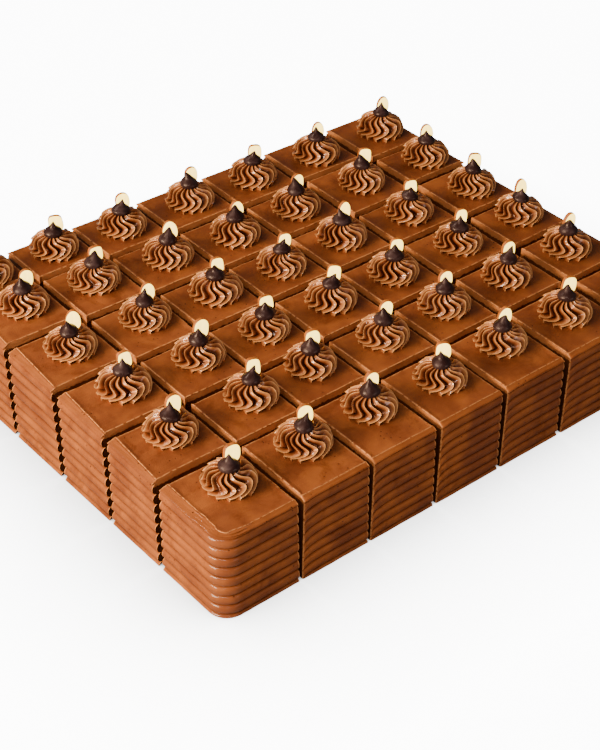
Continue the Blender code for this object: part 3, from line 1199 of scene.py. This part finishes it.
def drop_mesh(toppings, index):
    """A chocolate drop whose tip was pulled a little to one side."""
    draw = random.Random(SEED + index)
    bend = draw.uniform(-TIP_BEND, TIP_BEND), draw.uniform(-TIP_BEND, TIP_BEND)
    curl = draw.uniform(*TIP_CURLS)
    outline = np.array(DROP_OUTLINE)
    outline[:, 0] **= np.where(outline[:, 1] > WAIST_START, draw.uniform(*WAIST_POWERS), 1.0)
    angles = 2 * math.pi * np.arange(DROP_SIDES) / DROP_SIDES
    radius = toppings.drop_radius * outline[:, :1] * (1 + 0.03 * np.cos(2 * angles + index))
    up = outline[:, 1:]
    pull = toppings.drop_radius * np.maximum(0, up) ** 2.4 * (1 + curl * np.maximum(0, up - TIP_START))
    points = np.stack(
        (
            radius * np.cos(angles) + bend[0] * pull,
            radius * np.sin(angles) + bend[1] * pull,
            toppings.drop_height * up + np.zeros(DROP_SIDES),
        ),
        axis=-1,
    )
    uneven = layers(points, (*DROP_UNEVENNESS, index))
    points += uneven[..., None] * np.array((1, 1, 0.4))
    form = Form()
    form.add(points, closed_rings(len(outline), DROP_SIDES))
    return form.mesh(f"drop_{index}")


def drop_stand(topping, draw):
    """Where a drop stands, its size and its model."""
    leans = draw.uniform(-DROP_LEAN, DROP_LEAN), draw.uniform(-DROP_LEAN, DROP_LEAN)
    lean = Euler((*leans, draw.uniform(0, 6.28)))
    seat = Matrix.Translation((0, 0, topping.seat - DROP_SUNK))
    wide = draw.uniform(*DROP_WIDTHS)
    sized = wide, wide, draw.uniform(*DROP_HEIGHTS)
    return topping.stand @ seat @ lean.to_matrix().to_4x4(), sized, draw.randrange(DROP_MODELS)


class SHEETCAKE_OT_drops(bpy.types.Operator):
    """Set a chocolate drop on every rosette"""

    bl_idname = "sheetcake.drops"
    bl_label = "Set the Chocolate Drops"

    def execute(self, context):
        cake = context.scene.sheet_cake
        base = topping_points(cake, drop_stand, DROP_SEED_STEP)
        meshes = [drop_mesh(cake.toppings, index) for index in range(DROP_MODELS)]
        material = drop_material(cake.colours)
        place_grown("chocolate_drops", base, meshes, placing_tree(), material, "dark_chocolate")
        return {"FINISHED"}


NUT_SIDES = 40
NUT_SEED_STEP = 200
NUT_SHARP = 50.0
NUT_OFFSET = (0.0054, 0.0038)  # from the middle of its rosette
NUT_SUNK = 0.0027
NUT_LEANS_BACK = (-0.1, 0.02)
NUT_LEANS_ASIDE = (-0.12, 0.12)
CREASE_DEPTH = 0.00022  # down the middle of the cut face
CREASE_WIDTH = 0.0006
NUT_UNEVENNESS = (0.00012, 0.003)
# From the middle of a nut's cut face over its rim and round its back: share of the outline,
# depth as a share of the thickness, and whether it is skin.
NUT_SECTION = (
    (0.04, 0.03, 0.0),
    (0.12, 0.0, 0.0),
    (0.35, 0.0, 0.0),
    (0.6, 0.0, 0.0),
    (0.76, 0.0, 0.0),
    (0.9, 0.02, 0.0),
    (0.955, 0.05, 0.0),
    (0.97, 0.07, 1.0),
    (0.99, 0.1, 1.0),
    (1.0, 0.18, 1.0),
    (1.01, 0.45, 1.0),
    (0.96, 0.66, 1.0),
    (0.82, 0.84, 1.0),
    (0.58, 0.95, 1.0),
    (0.3, 1.0, 1.0),
    (0.05, 1.01, 1.0),
)
NUT_ROUNDNESS = (2.5, 2.8, 3.3, 2.4)  # from an ellipse towards a rounded rectangle
NUT_TAPERS = (0.1, 0.05, 0.02, 0.14)


def nut_mesh(toppings, index):
    """Half a nut, cut face towards -Y, its foot at the origin."""
    angles = 2 * math.pi * np.arange(NUT_SIDES) / NUT_SIDES
    side, up = (
        np.sign(part) * np.abs(part) ** (2 / NUT_ROUNDNESS[index])
        for part in (np.cos(angles), np.sin(angles))
    )
    side = side * (1 - NUT_TAPERS[index] * up)
    wave = 0.97 + 0.02 * np.sin(3 * angles + index) + 0.01 * np.sin(5 * angles + 2 * index)
    section = np.array(NUT_SECTION)
    shares, depths = section[:, :1], section[:, 1:2]
    x = toppings.nut_width / 2 * shares * side * wave
    y = toppings.nut_thickness * depths + np.zeros(NUT_SIDES)
    z = toppings.nut_length / 2 * (1 + shares * up * wave)
    points = np.stack((x, y, z), axis=-1)
    skin = np.repeat(section[:, 2:], NUT_SIDES, axis=1)
    crease = CREASE_DEPTH * np.exp(-((x / CREASE_WIDTH) ** 2))
    points[..., 1] += (crease + layers(points, (*NUT_UNEVENNESS, index))) * (skin == 0)
    form = Form()
    form.add(points, closed_rings(len(section), NUT_SIDES), skin=skin)
    return form.mesh(f"nut_{index}")


def nut_stand(topping, draw):
    """Where a nut stands, its size and its model."""
    lean = Euler((draw.uniform(*NUT_LEANS_BACK), draw.uniform(*NUT_LEANS_ASIDE), 0.0))
    foot = Matrix.Translation((*NUT_OFFSET, topping.seat - NUT_SUNK))
    facing = Matrix.Rotation(math.radians(topping.nut_facing), 4, "Z")
    stand = topping.stand @ foot @ facing @ lean.to_matrix().to_4x4()
    return stand, (topping.nut_width, 1.0, topping.nut_length), draw.randrange(len(NUT_ROUNDNESS))


class SHEETCAKE_OT_nuts(bpy.types.Operator):
    """Stand half a nut behind every drop"""

    bl_idname = "sheetcake.nuts"
    bl_label = "Set the Nut Halves"

    def execute(self, context):
        cake = context.scene.sheet_cake
        base = topping_points(cake, nut_stand, NUT_SEED_STEP)
        meshes = [nut_mesh(cake.toppings, index) for index in range(len(NUT_ROUNDNESS))]
        material = nut_material(cake.colours)
        place_grown("nut_halves", base, meshes, placing_tree(), material, "nut", NUT_SHARP)
        return {"FINISHED"}


CRUMB_MODELS = 4
CRUMB_RADIUS = 0.0006
CRUMB_SIDES = 6
CRUMB_LEVELS = ((0.35, -0.9), (0.95, -0.35), (0.9, 0.4), (0.3, 0.95))  # shares of the radius
CRUMB_SEED = 40
CRUMB_SIZES = (0.5, 1.5)
# The sheets that crumbs stick to: how much of a cut side they leave free at either end, how
# far in they lie as a share of the crumb depth, where they begin and how far under the top
# they end as a share of the icing.
SHEET_MARGIN = 0.03
SHEET_INSET = 0.7
SHEET_FOOT = 0.002
SHEET_UNDER_ICING = 1.1


def crumb_mesh(index):
    """A small uneven crumb."""
    angles = 2 * math.pi * np.arange(CRUMB_SIDES) / CRUMB_SIDES
    levels = np.array(CRUMB_LEVELS)
    radius = levels[:, :1] * np.ones(CRUMB_SIDES)
    height = levels[:, 1:] * np.ones(CRUMB_SIDES)
    points = np.stack((radius * np.cos(angles), radius * np.sin(angles), height), axis=-1)
    points *= CRUMB_RADIUS
    points *= 1 + 0.5 * noise(points, 0.0005, index + CRUMB_SEED)[..., None]
    form = Form()
    form.add(points, closed_rings(len(levels), CRUMB_SIDES))
    return form.mesh(f"crumb_{index}")


def cut_faces_mesh(block):
    """Plain sheets on all cut faces, for crumbs to stick to."""
    form = Form()
    for portion in portions(block):
        for side in (one for one in range(4) if not portion.outer[one]):
            start, end = portion.corners[side], portion.corners[(side + 1) % 4]
            sheet = []
            for along in (SHEET_MARGIN, 1 - SHEET_MARGIN):
                place = start + (end - start) * along
                place = place - FACING[side] * block.crumb_depth * SHEET_INSET
                top = top_height(block, place[1]) - SHEET_UNDER_ICING * block.icing_depth
                sheet += [(*place, SHEET_FOOT), (*place, top)]
            form.add(np.array(sheet), [(0, 2, 3, 1)])
    return form.mesh("cut_faces")


class SHEETCAKE_OT_crumbs(bpy.types.Operator):
    """Strew sponge crumbs over the cut faces"""

    bl_idname = "sheetcake.crumbs"
    bl_label = "Strew the Crumbs"

    def execute(self, context):
        cake = context.scene.sheet_cake
        base = cut_faces_mesh(cake.block)
        values = {
            "Density": cake.toppings.crumbs / sum(face.area for face in base.polygons),
            "Smallest": CRUMB_SIZES[0],
            "Largest": CRUMB_SIZES[1],
            "Seed": SEED,
        }
        meshes = [crumb_mesh(index) for index in range(CRUMB_MODELS)]
        material = crumb_material(cake.colours)
        place_grown("crumbs", base, meshes, scatter_tree(), material, "chocolate_icing", **values)
        return {"FINISHED"}


# ---------------------------------------------------------------- finishes


def shader_group(name, inputs, outputs):
    """A new shader node group with number inputs and outputs, and what it is given."""
    group = bpy.data.node_groups.new(name, "ShaderNodeTree")
    for title, default in inputs.items():
        tree_input(group, title, "NodeSocketFloat", default)
    for title in outputs:
        group.interface.new_socket(title, in_out="OUTPUT", socket_type="NodeSocketFloat")
    return group, add_node(group, "NodeGroupInput").outputs


def object_place(tree):
    """Where a point is, in metres."""
    return add_node(tree, "ShaderNodeTexCoord").outputs["Object"]


def cloud(tree, place, scale, detail, **more):
    """The value of a noise texture."""
    values = {"Vector": place, "Scale": scale, "Detail": detail, **more}
    return add_node(tree, "ShaderNodeTexNoise", values).outputs[0]


def lines(tree, place, scale, detail, turned=(0.0, 0.0, 0.0)):
    """The value of a noise texture that is drawn out along one way."""
    values = {"Vector": place, "Rotation": turned, "Scale": scale}
    return cloud(tree, add_node(tree, "ShaderNodeMapping", values).outputs[0], 1.0, detail)


def ranged(tree, value, low, high, to_low=0.0, to_high=1.0):
    """A value carried from one range to another, smoothly and within its ends."""
    values = {"Value": value, "From Min": low, "From Max": high, "To Min": to_low, "To Max": to_high}
    return add_node(tree, "ShaderNodeMapRange", values, interpolation_type="SMOOTHSTEP").outputs[0]


def maths(tree, operation, *values):
    """The socket of a sum, product or the like."""
    return add_node(tree, "ShaderNodeMath", dict(enumerate(values)), operation=operation).outputs[0]


def buttercream_group():
    """Uneven shade, gloss and relief of chocolate buttercream: mottling, grain, pits with painted shade,
    scratches.
    """
    name = "Buttercream"
    if name in bpy.data.node_groups:
        return bpy.data.node_groups[name]
    inputs = {"Mottle": 60.0, "Grain": 900.0, "Pits": 120.0, "Scratches": 1.0}
    group, given = shader_group(name, inputs, ("Shade", "Gloss", "Height", "Pit"))
    place = object_place(group)
    mottle = cloud(group, place, given["Mottle"], 3.0, Roughness=0.55, Distortion=0.3)
    grain = cloud(group, place, given["Grain"], 3.0)
    scratch = lines(group, place, (60.0, 1300.0, 200.0), 1.0, (0.0, 0.0, 0.5))
    scratched = maths(group, "MULTIPLY", ranged(group, scratch, 0.62, 0.7), given["Scratches"])
    pits = add_node(group, "ShaderNodeTexVoronoi", {"Vector": place, "Scale": given["Pits"]})
    pit = ranged(group, pits.outputs["Distance"], 0.06, 0.16, 1.0, 0.0)
    sparse = ranged(group, cloud(group, place, 75.0, 1.0), 0.5, 0.58)
    pitted = maths(group, "MULTIPLY", pit, sparse)
    # Painted shade: the pits darken the shade.
    shade = maths(group, "MULTIPLY_ADD", pitted, -0.45, mottle)
    shade = maths(group, "MULTIPLY_ADD", scratched, 0.25, shade)
    height = maths(group, "MULTIPLY_ADD", pitted, -1.8, grain)
    height = maths(group, "MULTIPLY_ADD", scratched, -0.7, height)
    add_node(group, "NodeGroupOutput", {"Shade": shade, "Gloss": mottle, "Height": height, "Pit": pitted})
    return group


def textured(tree, mottle, grain, pits, scratches):
    """The buttercream group in a material: scales of its mottling, grain and pits, and scratches."""
    made = tree.nodes.new("ShaderNodeGroup")
    made.node_tree = buttercream_group()
    fill(tree, made, {"Mottle": mottle, "Grain": grain, "Pits": pits, "Scratches": scratches})
    return made.outputs


def new_material(name):
    """An empty Principled material: its tree and its shader."""
    material = bpy.data.materials.new(name)
    material.use_nodes = True
    tree = material.node_tree
    return material, tree, tree.nodes["Principled BSDF"]


def opaque(rgb):
    """A colour socket's value from a colour property."""
    return (*rgb, 1.0)


def mix_colours(tree, factor, low, high):
    """The mixed colour's socket. Each colour is a socket or a colour property."""
    values = {0: factor, 6: low, 7: high}
    for index in (6, 7):
        if not isinstance(values[index], bpy.types.NodeSocket):
            values[index] = opaque(values[index])
    return add_node(tree, "ShaderNodeMix", values, data_type="RGBA").outputs[2]


def attribute(tree, name):
    """A point attribute's socket."""
    return add_node(tree, "ShaderNodeAttribute", attribute_name=name).outputs["Fac"]


def bump(tree, height, distance):
    """Relief finer than the mesh."""
    return add_node(tree, "ShaderNodeBump", {"Height": height, "Distance": distance}).outputs[0]


def icing_material(colours, block):
    """Icing outside, with painted shade in the grooves and pits and painted highlight on the rim and
    edges; on the cut faces icing drawn with painted light, over dark sponge that also stands for the
    shade deep in the cuts.
    """
    material, tree, shader = new_material("Milk Chocolate Icing")
    cream = textured(tree, 55.0, 1500.0, 260.0, 0.25)
    place = object_place(tree)
    patchy = cloud(tree, place, 420.0, 2.0)
    cut = attribute(tree, "cut")

    shade = ranged(tree, cream["Shade"], 0.3, 0.75)
    outside = mix_colours(tree, shade, colours.icing, colours.icing_pale)
    cloudy = cloud(tree, place, 34.0, 6.0, Roughness=0.75, Distortion=0.8)
    worn = ranged(tree, patchy, 0.3, 0.55)
    for strength, over in (
        (ranged(tree, cloudy, 0.5, 0.68, 0.0, 0.55), colours.icing_dark),
        # painted shade in the grooves and on the ridges' undersides
        (attribute(tree, "groove"), colours.deep_shade_and_crumb),
        # painted highlight on the band's rim
        (maths(tree, "MULTIPLY", attribute(tree, "rim"), 0.5), colours.icing_pale),
        # paler edges: partly worn icing, partly painted highlight
        (maths(tree, "MULTIPLY", attribute(tree, "edge"), worn), colours.icing_edge),
        # painted shade in the pits
        (maths(tree, "MULTIPLY", cream["Pit"], 0.75), colours.deep_shade_and_crumb),
    ):
        outside = mix_colours(tree, strength, outside, over)

    # Painted shade: the dark sponge under the icing also stands for the shade deep in the cuts.
    uneven = maths(tree, "MULTIPLY_ADD", patchy, 0.5 * block.icing_depth, attribute(tree, "deep"))
    in_sponge = ranged(tree, uneven, block.icing_depth, 1.15 * block.icing_depth)
    # Painted light: the icing on the cut faces is drawn pale, and paler still on the faces that do not
    # face left, away from the key lamp.
    cut_light_share = maths(tree, "MULTIPLY_ADD", attribute(tree, "left"), -0.25, 0.5)
    lit_cut_icing = mix_colours(tree, cut_light_share, colours.icing_pale, colours.icing_edge)
    inside = mix_colours(tree, in_sponge, lit_cut_icing, colours.sponge)

    # The comb left fine lines along its ridges.
    comb_lines = lines(tree, place, (28.0, 28.0, 1500.0), 2.0)
    iced_only = maths(tree, "MULTIPLY", comb_lines, maths(tree, "SUBTRACT", 1.0, cut))
    relief = maths(tree, "MULTIPLY_ADD", iced_only, 2.2, cream["Height"])
    rough = ranged(tree, cream["Gloss"], 0.3, 0.7, 0.36, 0.5)
    finish = {
        "Base Color": mix_colours(tree, cut, outside, inside),
        "Roughness": maths(tree, "MULTIPLY_ADD", cut, 0.25, rough),
        "Specular IOR Level": 0.2,
        "Specular Tint": opaque(colours.shine),
        "Coat Weight": maths(tree, "MULTIPLY", attribute(tree, "wet"), 0.4),
        "Coat Roughness": 0.09,
        "Normal": bump(tree, relief, 0.00012),
    }
    fill(tree, shader, finish)
    return material


def piped_material(colours):
    """Piped chocolate buttercream, glossy, with painted highlights on its thin crests and upper slopes
    and painted shade in its deep valleys.
    """
    material, tree, shader = new_material("Piped Milk Chocolate")
    cream = textured(tree, 220.0, 1800.0, 260.0, 0.2)
    crest = attribute(tree, "crest")
    shade = ranged(tree, cream["Shade"], 0.35, 1.0)
    toned = mix_colours(tree, shade, colours.piped, colours.icing_pale)
    for start, full, strength, over in (
        (0.45, 0.9, 0.22, colours.piped_highlight),  # painted highlight on the upper slopes
        (0.8, 0.12, 0.97, colours.deep_shade_and_crumb),  # painted shade in the valleys
        (0.84, 0.98, 0.7, colours.piped_highlight),  # painted highlight on the thin crests
    ):
        here = maths(tree, "MULTIPLY", ranged(tree, crest, start, full), strength)
        toned = mix_colours(tree, here, toned, over)
    finish = {
        "Base Color": toned,
        "Roughness": ranged(tree, cream["Gloss"], 0.3, 0.7, 0.24, 0.36),
        "Specular IOR Level": 0.75,
        "Specular Tint": opaque(colours.shine),
        "Coat Weight": ranged(tree, cream["Gloss"], 0.48, 0.62, 0.0, 0.8),
        "Coat Roughness": 0.1,
        "Normal": bump(tree, cream["Height"], 0.00006),
    }
    fill(tree, shader, finish)
    return material


def drop_material(colours):
    """Dull dark chocolate."""
    material, tree, shader = new_material("Dark Chocolate")
    cream = textured(tree, 160.0, 2200.0, 400.0, 0.3)
    bloom = [min(1.0, 2.0 * part + 0.01) for part in colours.drop]
    finish = {
        "Base Color": mix_colours(tree, ranged(tree, cream["Shade"], 0.4, 0.8), colours.drop, bloom),
        "Roughness": ranged(tree, cream["Gloss"], 0.3, 0.7, 0.26, 0.38),
        "Specular IOR Level": 0.22,
        "Specular Tint": (1.0, 0.68, 0.55, 1.0),
        "Normal": bump(tree, cream["Height"], 0.00004),
    }
    fill(tree, shader, finish)
    return material


NUT_GLOW = 4.4  # stands for the light that passes through the pale flesh
SKIN_GLOW = 0.05  # share of it that the skin lets through
FLESH_TINT = (1.0, 0.7, 0.13)
SKIN_TINT = (1.0, 0.25, 0.015)


def nut_material(colours):
    """A pale cut face and a brown papery skin, both with a painted glow that stands for the light passing
    through them.
    """
    material, tree, shader = new_material("Cut Nut")
    cream = textured(tree, 300.0, 1500.0, 500.0, 0.4)
    skin = attribute(tree, "skin")
    shade = ranged(tree, cream["Shade"], 0.3, 0.75)
    dark_flesh = [tint * part for tint, part in zip((0.82, 0.72, 0.6), colours.nut_flesh)]
    dark_skin = [0.45 * part for part in colours.nut_skin]
    flesh_colour = mix_colours(tree, shade, dark_flesh, colours.nut_flesh)
    skin_colour = mix_colours(tree, shade, dark_skin, colours.nut_skin)
    finish = {
        "Base Color": mix_colours(tree, skin, flesh_colour, skin_colour),
        "Roughness": ranged(tree, cream["Gloss"], 0.3, 0.7, 0.4, 0.6),
        "Emission Color": mix_colours(tree, skin, FLESH_TINT, SKIN_TINT),
        "Emission Strength": maths(tree, "MULTIPLY_ADD", skin, (SKIN_GLOW - 1) * NUT_GLOW, NUT_GLOW),
        "Normal": bump(tree, cream["Height"], 0.00005),
    }
    fill(tree, shader, finish)
    return material


def crumb_material(colours):
    """Dark dry sponge crumbs."""
    material, tree, shader = new_material("Sponge Crumb")
    cream = textured(tree, 400.0, 2500.0, 900.0, 0.0)
    shade = ranged(tree, cream["Shade"], 0.3, 0.7)
    finish = {
        "Base Color": mix_colours(tree, shade, colours.sponge, colours.deep_shade_and_crumb),
        "Roughness": 0.8,
        "Normal": bump(tree, cream["Height"], 0.0001),
    }
    fill(tree, shader, finish)
    return material


def floor_material(colours, glow):
    """A plain pale floor that shows white, with a painted contact shadow where something stands close by.
    """
    material, tree, shader = new_material("Pale Floor")
    clouds = cloud(tree, object_place(tree), 3.0, 2.0)
    dim = [0.985 * part for part in colours.floor]
    seen = add_node(tree, "ShaderNodeLightPath").outputs["Is Camera Ray"]
    # Painted contact shadow: ambient occlusion dims the glow near the cake.
    near = add_node(tree, "ShaderNodeAmbientOcclusion", {"Distance": FLOOR_SHADE_REACH}).outputs["AO"]
    bright = maths(tree, "MULTIPLY", maths(tree, "MULTIPLY", near, near), glow)
    finish = {
        "Base Color": mix_colours(tree, clouds, dim, colours.floor),
        "Roughness": 0.85,
        "Specular IOR Level": 0.1,
        "Emission Color": (1.0, 1.0, 1.0, 1.0),
        "Emission Strength": maths(tree, "MULTIPLY", bright, seen),
    }
    fill(tree, shader, finish)
    return material


# ---------------------------------------------------------------- camera, floor and light

FLOOR_REACH = 60.0
FLOOR_SHADE_REACH = 0.12
FLOOR_LEVEL = -0.0002
SENSOR_HEIGHT = 24.0  # millimetres
NEAREST_SEEN = 0.01

# Each lamp's power in the stage settings, its place, its width and height, and its tint.
LAMPS = (
    ("key", (-1.5, 0.12, 0.56), (0.9, 0.4), (1.0, 0.91, 0.7)),
    ("back", (-0.75, 1.05, 1.45), (0.4, 0.4), (1.0, 0.96, 0.9)),
    ("fill", (0.3, -1.75, 0.35), (1.0, 0.6), (1.0, 0.97, 1.0)),
    ("glint", (-0.95, -0.55, 0.95), (0.95, 0.035), (1.0, 1.0, 1.0)),
)
LAMP_TARGET = Vector((0.0, 0.0, 0.05))
SKY_TINT = (0.66, 0.82, 1.0, 1.0)


def place_camera(stage):
    """The photograph's view: from over the lowest corner, looking down over the cake."""
    data = bpy.data.cameras.new("Camera")
    data.sensor_fit = "VERTICAL"
    data.sensor_height = SENSOR_HEIGHT
    data.lens = SENSOR_HEIGHT / 2 / math.tan(stage.field / 2)
    data.clip_start = NEAREST_SEEN
    camera = bpy.data.objects.new("Camera", data)
    bpy.context.scene.collection.objects.link(camera)
    aim = Matrix.Rotation(stage.heading - math.pi / 2, 4, "Z")
    aim = aim @ Matrix.Rotation(math.pi / 2 - stage.dip, 4, "X") @ Matrix.Rotation(stage.roll, 4, "Z")
    camera.matrix_world = Matrix.Translation(stage.camera) @ aim
    bpy.context.scene.camera = camera


def area_lamp(name, place, extent, tint, watts):
    """A soft lamp that faces the cake."""
    data = bpy.data.lights.new(name, "AREA")
    data.shape = "RECTANGLE"
    data.size, data.size_y = extent
    data.energy = watts
    data.color = tint
    lamp = bpy.data.objects.new(name, data)
    bpy.context.scene.collection.objects.link(lamp)
    lamp.location = place
    lamp.rotation_euler = (LAMP_TARGET - Vector(place)).to_track_quat("-Z", "Y").to_euler()


def lay_floor(colours, glow):
    """The surface that the cake stands on."""
    form = Form()
    corners = [(x, y, FLOOR_LEVEL) for x, y in ((-1, -1), (1, -1), (1, 1), (-1, 1))]
    form.add(np.array(corners) * (FLOOR_REACH, FLOOR_REACH, 1.0), [(0, 1, 2, 3)])
    floor = bpy.data.objects.new("floor", form.mesh("floor"))
    floor.data.materials.append(floor_material(colours, glow))
    bpy.context.scene.collection.objects.link(floor)


class SHEETCAKE_OT_stage(bpy.types.Operator):
    """Set the floor, the camera and the lamps"""

    bl_idname = "sheetcake.stage"
    bl_label = "Set the Stage"

    def execute(self, context):
        cake = context.scene.sheet_cake
        stage = cake.stage
        lay_floor(cake.colours, stage.glow)
        place_camera(stage)
        for name, place, extent, tint in LAMPS:
            area_lamp(name.capitalize(), place, extent, tint, getattr(stage, name))
        world = bpy.data.worlds.new("Studio")
        world.use_nodes = True
        sky = world.node_tree.nodes["Background"]
        sky.inputs["Color"].default_value = SKY_TINT
        sky.inputs["Strength"].default_value = stage.ambient
        context.scene.world = world
        return {"FINISHED"}


# ---------------------------------------------------------------- panel and main


PIECES = (
    SHEETCAKE_OT_blocks,
    SHEETCAKE_OT_rosettes,
    SHEETCAKE_OT_drops,
    SHEETCAKE_OT_nuts,
    SHEETCAKE_OT_crumbs,
    SHEETCAKE_OT_stage,
)


class SHEETCAKE_PT_panel(bpy.types.Panel):
    """Sizes, colours and steps of the sheet cake"""

    bl_idname = "SHEETCAKE_PT_panel"
    bl_label = "Sheet Cake"
    bl_space_type = "VIEW_3D"
    bl_region_type = "UI"
    bl_category = "Sheet Cake"

    def draw(self, context):
        cake = context.scene.sheet_cake
        for group in (cake.block, cake.rosette, cake.toppings, cake.colours, cake.stage):
            box = self.layout.box()
            for name in group.__annotations__:
                box.prop(group, name)
        for piece in PIECES:
            self.layout.operator(piece.bl_idname)


CLASSES = (
    SheetCakeBlock,
    SheetCakeRosette,
    SheetCakeToppings,
    SheetCakeColours,
    SheetCakeStage,
    SheetCakeSettings,
    *PIECES,
    SHEETCAKE_PT_panel,
)


def register():
    for made in CLASSES:
        bpy.utils.register_class(made)
    bpy.types.Scene.sheet_cake = PointerProperty(type=SheetCakeSettings)


def unregister():
    del bpy.types.Scene.sheet_cake
    for made in reversed(CLASSES):
        bpy.utils.unregister_class(made)


def main():
    register()
    bpy.ops.sheetcake.blocks()
    bpy.ops.sheetcake.rosettes()
    bpy.ops.sheetcake.drops()
    bpy.ops.sheetcake.nuts()
    bpy.ops.sheetcake.crumbs()
    bpy.ops.sheetcake.stage()


if __name__ == "__main__":
    main()
